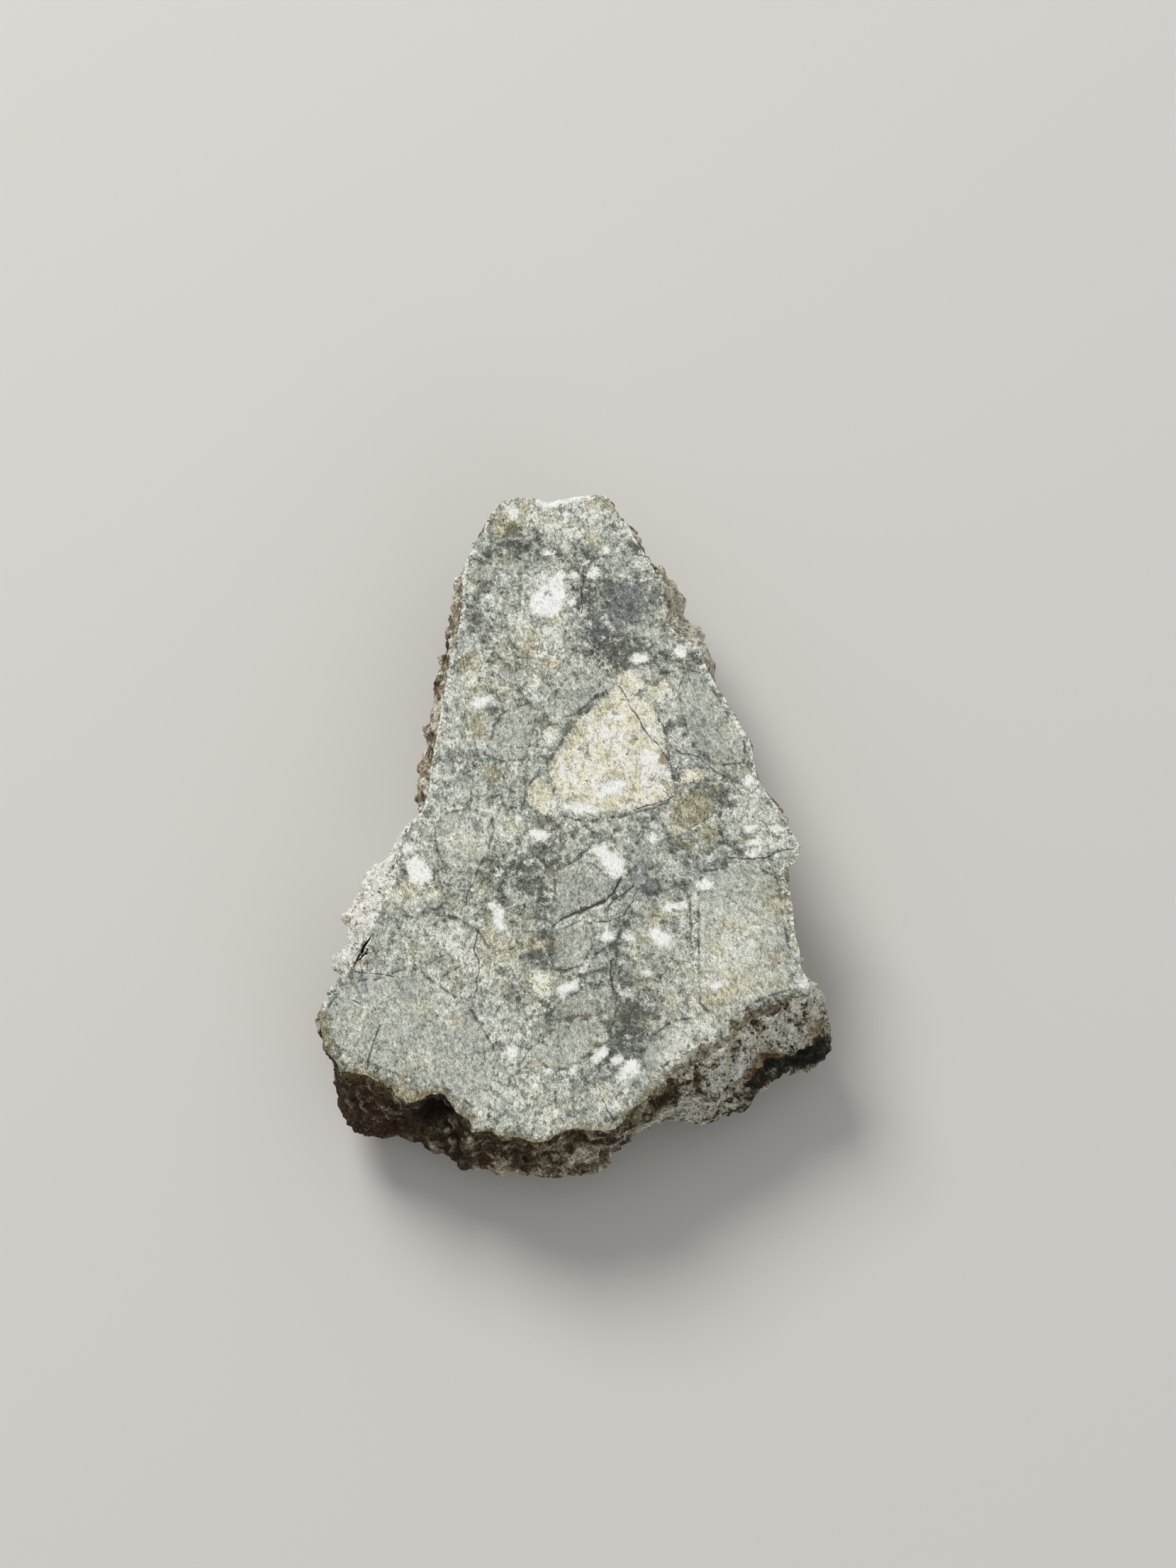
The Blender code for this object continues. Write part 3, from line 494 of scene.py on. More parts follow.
def spot_radius(places, spot):
    """Distance from the middle of an oval, as a share of its radius."""
    x, y, half_width, half_height, turn = spot[:5]
    cos, sin = math.cos(math.radians(turn)), math.sin(math.radians(turn))
    dx, dy = places[:, 0] - x, places[:, 1] - y
    return np.hypot((dx * cos + dy * sin) / half_width, (dy * cos - dx * sin) / half_height)


def spots_depth(places, spots):
    """How far inside the nearest of these ovals each place lies; outside it is negative."""
    deepest = np.full(len(places), -FAR)
    for spot in spots:
        deepest = np.maximum(deepest, (1.0 - spot_radius(places, spot)) * min(spot[2], spot[3]))
    return deepest


def patches(places, spots):
    """Sum of soft ovals, each with its own strength."""
    total = np.zeros(len(places))
    for spot in spots:
        total += spot[5] * np.exp(-(spot_radius(places, spot) ** 2))
    return total


def stains(places, spots):
    """Sum of soft balls, each with its own reach and strength, at places of x, y and depth."""
    total = np.zeros(len(places))
    for centre, reach, strength in spots:
        total += strength * np.exp(-((np.linalg.norm(places - np.array(centre), axis=1) / reach) ** 2))
    return total


def packed_stone():
    """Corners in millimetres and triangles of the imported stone, with doubled corners joined."""
    weld = 1e-7
    mesh = bmesh.new()
    mesh.from_mesh(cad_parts[NODE].data)
    bmesh.ops.remove_doubles(mesh, verts=mesh.verts, dist=weld)
    bmesh.ops.triangulate(mesh, faces=mesh.faces)
    mesh.verts.index_update()
    corners = np.array([vert.co for vert in mesh.verts], dtype=float) / MM
    triangles = np.array([[vert.index for vert in face.verts] for face in mesh.faces])
    mesh.free()
    return corners, triangles


def sides_of(triangles):
    return np.concatenate([triangles[:, pair] for pair in ([0, 1], [1, 2], [2, 0])])


def rim_of(triangles):
    """Corners along the open edge of a shell, in order."""
    sides = {tuple(side) for side in sides_of(triangles).tolist()}
    after = {start: end for start, end in sides if (end, start) not in sides}
    loop = [min(after)]
    while after[loop[-1]] != loop[0]:
        loop.append(after[loop[-1]])
    if len(loop) != len(after):
        raise RuntimeError("the broken skin has more than one open edge")
    return loop


def cut_finer(corners, triangles):
    """Each triangle cut into four at the middles of its sides."""
    sides = np.sort(triangles[:, [[0, 1], [1, 2], [2, 0]]].reshape(-1, 2), axis=1)
    unique, where = np.unique(sides, axis=0, return_inverse=True)
    middles = corners[unique].mean(axis=1)
    ab, bc, ca = (where.reshape(-1, 3) + len(corners)).T
    a, b, c = triangles.T
    quarters = [(a, ab, ca), (ab, b, bc), (ca, bc, c), (ab, bc, ca)]
    return np.concatenate([corners, middles]), np.concatenate([np.column_stack(part) for part in quarters])


def rounded(corners, triangles, held, rounds, share=0.5):
    """The corners drawn towards the mean of their neighbours, apart from the held ones."""
    sides = np.unique(np.sort(sides_of(triangles), axis=1), axis=0)
    starts = np.concatenate([sides[:, 0], sides[:, 1]])
    ends = np.concatenate([sides[:, 1], sides[:, 0]])
    counts = np.bincount(starts, minlength=len(corners))[:, None]
    for _ in range(rounds):
        means = np.column_stack(
            [np.bincount(starts, weights=corners[ends, axis], minlength=len(corners)) for axis in range(3)]
        )
        corners = np.where(held[:, None], corners, corners + share * (means / counts - corners))
    return corners


def corner_normals(corners, triangles):
    a, b, c = (corners[triangles[:, index]] for index in range(3))
    facing = np.cross(b - a, c - a)
    totals = np.zeros_like(corners)
    for index in range(3):
        for axis in range(3):
            shares = np.bincount(triangles[:, index], weights=facing[:, axis], minlength=len(corners))
            totals[:, axis] += shares
    return totals / np.maximum(np.linalg.norm(totals, axis=1, keepdims=True), 1e-12)


def ragged_rim(rim, sizes):
    """The rim's points with the straight runs broken up in and out, and chipped down a little."""
    softened = rim.copy()
    for _ in range(3):
        neighbours = (np.roll(softened, 1, axis=0) + np.roll(softened, -1, axis=0)) / 2
        softened[:, :2] = (softened[:, :2] + neighbours[:, :2]) / 2
    along = np.roll(softened, -1, axis=0) - np.roll(softened, 1, axis=0)
    across = np.column_stack([-along[:, 1], along[:, 0]])
    across /= np.linalg.norm(across, axis=1, keepdims=True)
    stray = 0.7 * fractal(on_plane(softened, 5.0), 0.55) + 0.6 * fractal(on_plane(softened, 6.0), 0.17, 2)
    softened[:, :2] += across * (stray * sizes.rim_raggedness / MM)[:, None]
    softened[:, 2] -= chip_at(softened, sizes)
    return softened


def soft_rim(places):
    """How softly the face goes over into the slope at the lower right, where the saw left no edge."""
    return smooth_step((places[:, 0] - 2.2) / 1.2) * smooth_step((-6.7 - places[:, 1]) / 0.6)


def behind_the_front(places):
    """0 at the front and 1 behind it, where the dusty left flank begins."""
    return smooth_step((places[:, 1] + 6.9) / 0.7)


def chip_at(places, sizes):
    """Depth of the chips at the rim itself, in millimetres."""
    chips = np.clip(0.35 + 0.9 * fractal(on_plane(places, 8.0), 0.35, 3), 0.05, 1.3)
    return (chips + 1.6 * soft_rim(places)) * sizes.chip_depth / MM


def skin_relief(corners, facing, sizes):
    """How far the skin's corners move out, in millimetres, how high they stand, and its round crumbs."""
    lumps = fractal(corners, sizes.lump_size / MM, 3)
    near, second, centres, inside = cells(corners, sizes.facet_size / MM)
    tilt = np.array([noise.cell_vector(centre * 7.3) for centre in centres])
    level_of = np.array([noise.cell(centre * 3.1) for centre in centres])
    facets = (0.6 * level_of + 1.1 * (inside * tilt).sum(axis=1)) * smooth_step((second - near) / 0.25)
    crumbs = fractal(corners, sizes.crumb_size / MM, 3, layer=4.0)
    move = (lumps * sizes.lump_height + facets * sizes.facet_height + crumbs * sizes.crumb_height) / MM
    from_middle, *_ = cells(corners, sizes.mound_size / MM, layer=9.0)
    mound = np.clip(1.0 - (from_middle / MOUND_RADIUS) ** 2, 0.0, 1.0)
    dusty = smooth_step((-facing[:, 0] - 0.1) / 0.4) * behind_the_front(corners)
    dusty *= np.clip(0.75 + 0.9 * fractal(corners, 1.1, 2, layer=12.0), 0.15, 1.3)
    move += dusty * (mound - 0.3) * sizes.mound_height / MM
    raised = np.clip(0.5 * facets + 0.5 * crumbs + 0.3 * lumps, -1.0, 1.0)
    return move, raised, mound


def swollen(corners, depth):
    """The corners moved by the swellings, which leave the rim as it is."""
    for centre, reach, way in SWELLINGS:
        apart = np.linalg.norm(np.column_stack([corners[:, :2], depth]) - np.array(centre), axis=1)
        share = np.exp(-((apart / reach) ** 2)) * smooth_step(depth / 0.25)
        corners = corners + share[:, None] * np.array(way)
    return corners


def broken_skin(sizes):
    """The roughened stone without its sawn face, in the drawing's millimetres, and its relief."""
    corners, triangles = packed_stone()
    top = corners[:, 2].max()
    on_top = corners[:, 2] > top - ON_LEVEL
    corners[:, :2] -= corners[on_top, :2].min(axis=0) - np.array(DRAWING_LOW)
    triangles = triangles[~on_top[triangles].all(axis=1)]
    for _ in range(2):
        corners, triangles = cut_finer(corners, triangles)
    rim = rim_of(triangles)
    corners[rim] = ragged_rim(corners[rim], sizes)
    held = corners[:, 2] < ON_LEVEL
    held[rim] = True
    corners = rounded(corners, triangles, held, rounds=6)
    facing = corner_normals(rounded(corners, triangles, held, rounds=20), triangles)
    depth = top - corners[:, 2]
    free = smooth_step(depth / RIM_BAND) * smooth_step(corners[:, 2] / FOOT_BAND)
    move, raised, mound = skin_relief(corners, facing, sizes)
    corners = swollen(corners + facing * (move * free)[:, None], depth)
    corners[:, 2] = np.clip(corners[:, 2], 0.0, None)
    return corners, triangles, rim, top, facing, {"raised": raised * free, "mound": mound}


def cut_line(points, pitch, stray=0.03):
    """Points along a crack, about a pitch apart, with a slight waver."""
    made = []
    for (ax, ay), (bx, by) in zip(points, points[1:]):
        steps = max(1, math.ceil(math.dist((ax, ay), (bx, by)) / pitch))
        for step in range(steps):
            share = step / steps
            made.append((ax + (bx - ax) * share, ay + (by - ay) * share))
    made.append(points[-1])
    wavered = []
    for x, y in made:
        slow = noise.noise_vector(Vector((x * 3.0, y * 3.0, 2.0)))
        quick = noise.noise_vector(Vector((x * 9.0, y * 9.0, 4.0)))
        across, up = 1.6 * slow.x + 0.8 * quick.x, 1.6 * slow.y + 0.8 * quick.y
        wavered.append((x + stray * across, y + stray * up))
    return wavered


def slit_sides(points, half_width):
    """The two edges of an open slit, which meet at its ends."""
    sides = [[], []]
    for index, (x, y) in enumerate(points):
        before, after = points[max(index - 1, 0)], points[min(index + 1, len(points) - 1)]
        along = Vector((after[0] - before[0], after[1] - before[1])).normalized()
        width = half_width * math.sin(math.pi * index / (len(points) - 1)) ** 0.6
        sides[0].append((x - along.y * width, y + along.x * width))
        sides[1].append((x + along.y * width, y - along.x * width))
    return sides


def face_lines(rim_points, pitch):
    """The lines that the sawn face's mesh follows: its cracks, its vein and its open slits."""
    lines = [cut_line(points, pitch) for _, points in CRACKS.values()] + [cut_line(RED_VEIN, pitch)]
    for half_width, points in SLITS.values():
        middle = cut_line(points, pitch, stray=0.0)
        lines.append(middle)
        for side in slit_sides(middle, half_width):
            lines.append(side)
    kept = []
    for line in lines:
        places = np.array(line)
        from_rim = line_distance(places, rim_points, closed=True)
        clear = inside_loop(places, rim_points) & (from_rim > 0.5 * pitch)
        run = []
        for place, fits in zip(line, clear):
            if fits:
                run.append(place)
            elif run:
                kept.append(run)
                run = []
        if run:
            kept.append(run)
    return [line for line in kept if len(line) > 1]


def face_net(rim, pitch):
    """Places and triangles of the sawn face. The first places are the rim's."""
    rim_points = [tuple(point) for point in rim[:, :2]]
    points = list(rim_points)
    edges = [(index, (index + 1) % len(rim_points)) for index in range(len(rim_points))]
    for line in face_lines(rim_points, pitch):
        start = len(points)
        points.extend(line)
        edges.extend((start + index, start + index + 1) for index in range(len(line) - 1))
    taken = kdtree.KDTree(len(points))
    for index, point in enumerate(points):
        taken.insert((*point, 0.0), index)
    taken.balance()
    low, high = rim[:, :2].min(axis=0), rim[:, :2].max(axis=0)
    row_height = pitch * math.sqrt(0.75)
    rows = np.arange(low[1], high[1], row_height)
    columns = np.arange(low[0], high[0], pitch)
    grid = np.array([(x + 0.5 * pitch * (index % 2), y) for index, y in enumerate(rows) for x in columns])
    scatter = np.random.default_rng(SEED).uniform(-0.22, 0.22, grid.shape) * pitch
    grid = (grid + scatter)[inside_loop(grid + scatter, rim_points)]
    points.extend(tuple(point) for point in grid if taken.find((*point, 0.0))[2] > 0.62 * pitch)
    inside_only, tolerance = 1, 1e-7
    made, _, faces, origins, *_ = delaunay_2d_cdt([Vector(point) for point in points], edges, [], inside_only,
                                                  tolerance)
    order = {}
    for index, sources in enumerate(origins):
        for source in sources:
            if source < len(rim_points):
                order[source] = index
    if len(order) != len(rim_points) or len(set(order.values())) != len(rim_points):
        raise RuntimeError("the sawn face lost a point of its rim")
    places = np.array([(point.x, point.y) for point in made])
    return places, np.array(faces), [order[index] for index in range(len(rim_points))]


def slit_gape(places, points, half_width):
    """How far open a slit is at each place, and how much of its depth it has there, between its ends."""
    line = cut_line(points, SLIT_PITCH, stray=0.0)
    sides = slit_sides(line, half_width)
    within = inside_loop(places, sides[0] + sides[1][::-1])
    apart = line_distance(places, line)
    gape = np.where(within, np.clip(1.0 - apart / (1.25 * half_width), 0.0, 1.0), 0.0)
    gape = np.where(apart < 1e-4, 1.0, gape)
    from_ends = [np.linalg.norm(places - np.array(end), axis=1) for end in (line[0], line[-1])]
    return gape, smooth_step(np.minimum(*from_ends) / 0.2)


def sawn_relief(places, edge, crack, even, sizes):
    """How far each place of the sawn face lies below its level, in millimetres."""
    depth = sizes.crack_depth / MM * np.exp(-((crack / 1.3) ** 2))
    for half_width, points in SLITS.values():
        gape, taper = slit_gape(places, points, half_width)
        depth = np.maximum(depth, sizes.slit_depth / MM * gape * taper)
    flat = on_plane(places)
    rough = 1.0 - 0.75 * smooth_step(even / 0.15)
    near, _, centres, _ = cells(flat, PIT_CELL, layer=3.0)
    chance = np.array([noise.cell(centre * 5.7) for centre in centres])
    pits = np.clip(1.0 - (near / PIT_RADIUS) ** 2, 0.0, 1.0) * smooth_step((chance - 0.35) / 0.3)
    depth += pits * rough * sizes.pit_depth / MM
    depth += rough * FACE_ROUGHNESS * (fractal(flat, 0.2, 3) + 0.8)
    depth += FACE_WAVE * (fractal(flat, 1.6, 2) + 1.0)
    width = np.clip(0.6 + 0.9 * fractal(on_plane(places, 8.5), 0.6, 2), 0.15, 1.6) + 2.6 * soft_rim(places)
    width *= sizes.chip_width / MM
    depth += chip_at(places, sizes) * np.clip(1.0 - edge / width, 0.0, 1.0) ** 1.5
    return np.clip(depth, 0.0, None)


def line_reach(places, lines, stray=0.03):
    """Distance to the nearest of these lines, in half widths of that line."""
    nearest = np.full(len(places), FAR)
    for half_width, points in lines.values():
        apart = line_distance(places, cut_line(points, CRACK_PITCH, stray))
        nearest = np.minimum(nearest, apart / half_width)
    return nearest


def slit_reach(places):
    """Distance to the nearest open slit, in its half widths, which taper to its ends."""
    nearest = np.full(len(places), FAR)
    for half_width, points in SLITS.values():
        start, way = np.array(points[0]), np.array(points[-1]) - np.array(points[0])
        share = np.clip((places - start) @ way / (way @ way), 0.0, 1.0)
        taper = 0.25 + 0.75 * np.sin(np.pi * share)
        nearest = np.minimum(nearest, line_distance(places, points) / (half_width * taper))
    return nearest


def rock_fields(places, depth):
    """What the corners carry about the rock's clasts. Below the sawn face the clasts close in."""
    shrink = CLOSING * depth
    tone = patches(places, PALE_PATCHES) - patches(places, DARK_PATCHES)
    tint = patches(places, WARM_PATCHES) - patches(places, COOL_PATCHES)
    white = np.maximum(outline_depth(places, WHITE_CLASTS.values()), spots_depth(places, WHITE_SPOTS))
    return {
        "white": white - shrink,
        "cream": outline_depth(places, CREAM_CLASTS.values()) - shrink,
        "olive": outline_depth(places, OLIVE_CLASTS.values()) - shrink,
        "even": outline_depth(places, EVEN_CLASTS.values()) - shrink,
        "spot": spots_depth(places, DARK_SPOTS) - shrink,
        "slit": slit_reach(places),
        "tone": np.clip(tone, -1.6, 1.2),
        "tint": np.clip(tint, -1.0, 1.0),
        "seam": line_reach(places, SEAMS),
        "slant": smooth_step((places[:, 0] - 0.5) / 2.0),
        # How much the rim whitens: worn crumbs and a painted highlight on its wall, less at the front
        "wear_and_highlight": 1.0 - 0.85 * smooth_step((-7.2 - places[:, 1]) / 1.0) - 0.6 * soft_rim(places),
        "soft": soft_rim(places),
    }


def skin_fields(corners, top, facing):
    """What the corners of the broken skin carry about its dust, stains, painted glints and painted shade."""
    depth = top - corners[:, 2]
    places = np.column_stack([corners[:, :2], depth])
    left = smooth_step((-facing[:, 0] - 0.15) / 0.45) * behind_the_front(corners)
    # Front: the side that faces the front is made darker, partly a dark crust and partly painted shade
    front = smooth_step((-facing[:, 1] - 0.1) / 0.4) * smooth_step((-6.5 - corners[:, 1]) / 1.5)
    under = smooth_step((-facing[:, 2] - 0.45) / 0.35)
    strip = smooth_step((corners[:, 1] + 1.5) / 1.5)
    left_end = smooth_step((-6.9 - corners[:, 0]) / 0.8) * smooth_step((depth - 0.2) / 0.6)
    darker = 1.0 + 1.4 * smooth_step((-3.0 - corners[:, 0]) / 1.5)
    fields = {
        "deep": depth,
        "dust": np.clip(left * (1.0 - under) * (1.0 - 0.42 * strip) + 0.35 * under, 0.0, 1.0),
        "bare": np.clip(stains(places, GREY_PLACES) - stains(places, DARK_PLACES) - 0.25 * front, -0.8, 1.3),
        "front": np.clip(front * darker + 1.6 * left_end * (1.0 - left), 0.0, 2.4),
    }
    spread = {"rust": RUST_PLACES, "black": BLACK_CRUST_AND_SHADE_PLACES, "glint": WHITE_PLACES, "fringe": FRINGE_PLACES}
    for name, spots in spread.items():
        fields[name] = np.clip(stains(places, spots), 0.0, 1.2)
    return fields


def stone_mesh(sizes):
    """The closed mesh of the stone, with its two materials' faces and all that its corners carry."""
    noise.seed_set(SEED)
    skin, skin_triangles, rim, top, facing, relief = broken_skin(sizes)
    face_places, face_triangles, face_rim = face_net(skin[rim], sizes.face_pitch / MM)
    rim_points = [tuple(point) for point in skin[rim][:, :2]]
    edge = line_distance(face_places, rim_points, closed=True)
    crack = np.minimum(line_reach(face_places, CRACKS), 1.1 * line_reach(face_places, SLITS, stray=0.0))
    even = outline_depth(face_places, EVEN_CLASTS.values())
    heights = top - sawn_relief(face_places, edge, crack, even, sizes)

    # The sawn face's points come after the skin's, apart from its rim, which is the skin's own.
    number = np.full(len(face_places), -1)
    number[face_rim] = rim
    new = number < 0
    number[new] = len(skin) + np.arange(new.sum())
    corners = np.concatenate([skin, np.column_stack([face_places[new], heights[new]])])
    facing_up = number[face_triangles]
    a, b, c = (corners[facing_up[:, index], :2] for index in range(3))
    turned = (b[:, 0] - a[:, 0]) * (c[:, 1] - a[:, 1]) - (b[:, 1] - a[:, 1]) * (c[:, 0] - a[:, 0]) < 0
    facing_up[turned] = facing_up[turned][:, ::-1]
    triangles = np.concatenate([skin_triangles, facing_up])

    count = len(corners)
    extra = count - len(skin)
    depth = np.concatenate([top - skin[:, 2], np.zeros(extra)])
    fields = rock_fields(corners[:, :2], depth)
    up = np.tile((0.0, 0.0, 1.0), (extra, 1))
    fields.update(skin_fields(corners, top, np.concatenate([facing, up])))
    fields.update({name: np.concatenate([values, np.zeros(extra)]) for name, values in relief.items()})
    for name, found, away in (("edge", edge, 0.0), ("crack", crack, FAR)):
        values = np.full(count, away)
        values[number] = found
        fields[name] = values
    fields["vein"] = line_distance(corners[:, :2], cut_line(RED_VEIN, CRACK_PITCH))

    data = bpy.data.meshes.new("meteorite stone")
    shift = np.array([*(packed_face_low() - np.array(DRAWING_LOW)), 0.0])
    data.from_pydata(((corners + shift) * MM).tolist(), [], triangles.tolist())
    data.polygons.foreach_set("material_index", [0] * len(skin_triangles) + [1] * len(facing_up))
    for name, values in fields.items():
        attribute = data.attributes.new(name, "FLOAT", "POINT")
        attribute.data.foreach_set("value", np.asarray(values, dtype=np.float32))
    data.shade_smooth()
    data.set_sharp_from_angle(angle=math.radians(50))
    if data.validate():
        raise RuntimeError("the stone's mesh has broken faces")
    return data


def packed_face_low():
    """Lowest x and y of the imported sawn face, in millimetres."""
    corners = np.array([vert.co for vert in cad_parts[NODE].data.vertices], dtype=float) / MM
    return corners[corners[:, 2] > corners[:, 2].max() - ON_LEVEL, :2].min(axis=0)


class Tree:
    """A node tree, with short calls for the nodes that the stone's materials use."""

    def __init__(self, tree):
        self.tree = tree

    def feed(self, socket, value):
        if isinstance(value, bpy.types.NodeSocket):
            self.tree.links.new(value, socket)
        else:
            socket.default_value = value

    def node(self, kind, inputs=None, **settings):
        made = self.tree.nodes.new("ShaderNode" + kind)
        for name, value in settings.items():
            setattr(made, name, value)
        for name, value in (inputs or {}).items():
            self.feed(made.inputs[name], value)
        return made

    def carried(self, name):
        """What the mesh's corners carry under this name."""
        return self.node("Attribute", attribute_type="GEOMETRY", attribute_name=name).outputs["Fac"]

    def moved(self, vector, way):
        return self.node("VectorMath", {0: vector, 1: way}, operation="ADD").outputs["Vector"]

    def resized(self, vector, scale):
        return self.node("VectorMath", {0: vector, "Scale": scale}, operation="SCALE").outputs["Vector"]

    def noise(self, vector, size, detail=2.0, roughness=0.5, distortion=0.0):
        settings = {"Vector": vector, "Scale": 1 / size, "Detail": detail, "Roughness": roughness,
                    "Distortion": distortion}
        return self.node("TexNoise", settings).outputs[0]

    def cells(self, vector, size):
        return self.node("TexVoronoi", {"Vector": vector, "Scale": 1 / size}).outputs

    def chances(self, cells):
        """Three chance values of each cell."""
        return self.node("SeparateColor", {"Color": cells["Color"]}).outputs

    def maths(self, operation, first, second=0.0):
        return self.node("Math", {0: first, 1: second}, operation=operation).outputs[0]

    def times(self, first, second):
        return self.maths("MULTIPLY", first, second)

    def total(self, *terms):
        """Sum of values times their weights, given as pairs."""
        result = 0.0
        for value, weight in terms:
            result = self.node("Math", {0: value, 1: weight, 2: result}, operation="MULTIPLY_ADD").outputs[0]
        return result

    def step(self, value, low, high):
        settings = {"Value": value, "From Min": low, "From Max": high}
        return self.node("MapRange", settings, interpolation_type="SMOOTHSTEP").outputs[0]

    def crease(self, wander, low, high):
        """Mask of thin lines where this noise passes through its middle."""
        return self.step(self.maths("ABSOLUTE", self.maths("SUBTRACT", wander, 0.5)), low, high)

    def mix(self, factor, first, second):
        made = self.node("Mix", data_type="RGBA", clamp_factor=True)
        factor_socket, first_socket, second_socket = (made.inputs[index] for index in (0, 6, 7))
        self.feed(factor_socket, factor)
        self.feed(first_socket, first)
        self.feed(second_socket, second)
        return made.outputs[2]

    def scaled(self, colour, factor):
        """The colour made lighter or darker, but never quite white."""
        made = self.resized(colour, factor)
        return self.node("VectorMath", {0: made, 1: NEAR_WHITE}, operation="MINIMUM").outputs["Vector"]

    def group(self, group, **inputs):
        made = self.tree.nodes.new("ShaderNodeGroup")
        made.node_tree = group
        for name, value in inputs.items():
            self.feed(made.inputs[name.replace("_", " ").capitalize()], value)
        return made.outputs


def new_group(name, inputs, outputs):
    """An empty shader node group with these sockets: its tree, its input node's and output node's sockets."""
    group = bpy.data.node_groups.new(name, "ShaderNodeTree")
    for socket, kind, default in inputs:
        made = group.interface.new_socket(name=socket, in_out="INPUT", socket_type=kind)
        if default is not None:
            made.default_value = default
    for socket, kind in outputs:
        group.interface.new_socket(name=socket, in_out="OUTPUT", socket_type=kind)
    tree = Tree(group)
    return group, tree, group.nodes.new("NodeGroupInput").outputs, group.nodes.new("NodeGroupOutput").inputs


def ragged_edge_group():
    """Turns a distance into a mask whose edge is frayed by noise. Fray is the usual stray of the edge."""
    group, tree, given, result = new_group(
        "Ragged edge",
        [("Distance", "NodeSocketFloat", 0.0), ("Place", "NodeSocketVector", None),
         ("Fray", "NodeSocketFloat", 0.05), ("Softness", "NodeSocketFloat", 0.02)],
        [("Mask", "NodeSocketFloat")],
    )
    coarse = tree.noise(given["Place"], 0.3, detail=3.0, roughness=0.75)
    fine = tree.noise(given["Place"], 0.06, detail=1.0)
    stray = tree.total((coarse, 8.0), (fine, 3.5), (1.0, -5.75))
    moved = tree.node("Math", {0: stray, 1: given["Fray"], 2: given["Distance"]},
                      operation="MULTIPLY_ADD").outputs[0]
    tree.feed(result["Mask"], tree.step(moved, tree.times(given["Softness"], -1.0), given["Softness"]))
    return group


def rock_grain_group():
    """Fine crossing needles of pale and dark mineral, and the height of this grain."""
    group, tree, given, result = new_group(
        "Rock grain",
        [("Place", "NodeSocketVector", None), ("Size", "NodeSocketFloat", 0.1)],
        [("Pale", "NodeSocketFloat"), ("Dark", "NodeSocketFloat"), ("Height", "NodeSocketFloat")],
    )
    scale = tree.maths("DIVIDE", 1.0, given["Size"])
    grain = tree.resized(given["Place"], scale)
    gaps = tree.noise(grain, 1.7, detail=1.0)
    outputs = []
    for name, layer, low, high in (("Pale", 0.0, 0.42, 0.54), ("Dark", 31.0, 0.58, 0.46)):
        moved = tree.moved(grain, (layer, layer, layer))
        wander = tree.noise(moved, 0.9, detail=1.0, roughness=0.6, distortion=1.2)
        outputs.append(tree.times(tree.crease(wander, 0.06, 0.015), tree.step(gaps, low, high)))
        tree.feed(result[name], outputs[-1])
    tree.feed(result["Height"], tree.maths("SUBTRACT", *outputs))
    return group


def new_material(name):
    material = bpy.data.materials.new(name)
    material.use_nodes = True
    return material, material.node_tree.nodes["Principled BSDF"]


class RockTree(Tree):
    """A rock material's node tree, with the place on the stone, in millimetres, and what both rocks share."""

    def __init__(self, tree, ragged):
        super().__init__(tree)
        self.ragged = ragged
        self.place = self.resized(self.node("TexCoord").outputs["Object"], 1 / MM)

    def frayed(self, distance, fray, softness):
        """Ragged mask of the places where this distance is above nought."""
        settings = {"distance": distance, "place": self.place, "fray": fray, "softness": softness}
        return self.group(self.ragged, **settings)["Mask"]

    def masked(self, name, fray, softness, grow=0.0):
        """Ragged mask of a kind of clast, widened by grow."""
        distance = self.maths("ADD", self.carried(name), grow) if grow else self.carried(name)
        return self.frayed(distance, fray, softness)

    def filaments(self, size, layer):
        """Mask of short thin lines that wander through the rock."""
        moved = self.moved(self.place, (layer, layer, layer))
        wander = self.noise(moved, size, detail=1.5, roughness=0.6, distortion=0.8)
        line = self.crease(wander, 0.02, 0.004)
        return self.times(line, self.step(self.noise(moved, 0.45, detail=1.0), 0.5, 0.62))

    def worn_and_highlit(self, rock, wear_and_highlight, strength, white):
        """The rock with its rim whitened where the wear is above nought: white crumbs and a painted
        highlight.
        """
        worn_and_highlit = self.frayed(wear_and_highlight, 0.04, 0.02)
        crumbs_and_highlight = self.step(self.noise(self.place, 0.1, detail=1.0), 0.4, 0.56)
        return self.mix(self.times(worn_and_highlit, self.times(crumbs_and_highlight, strength)), rock, white)


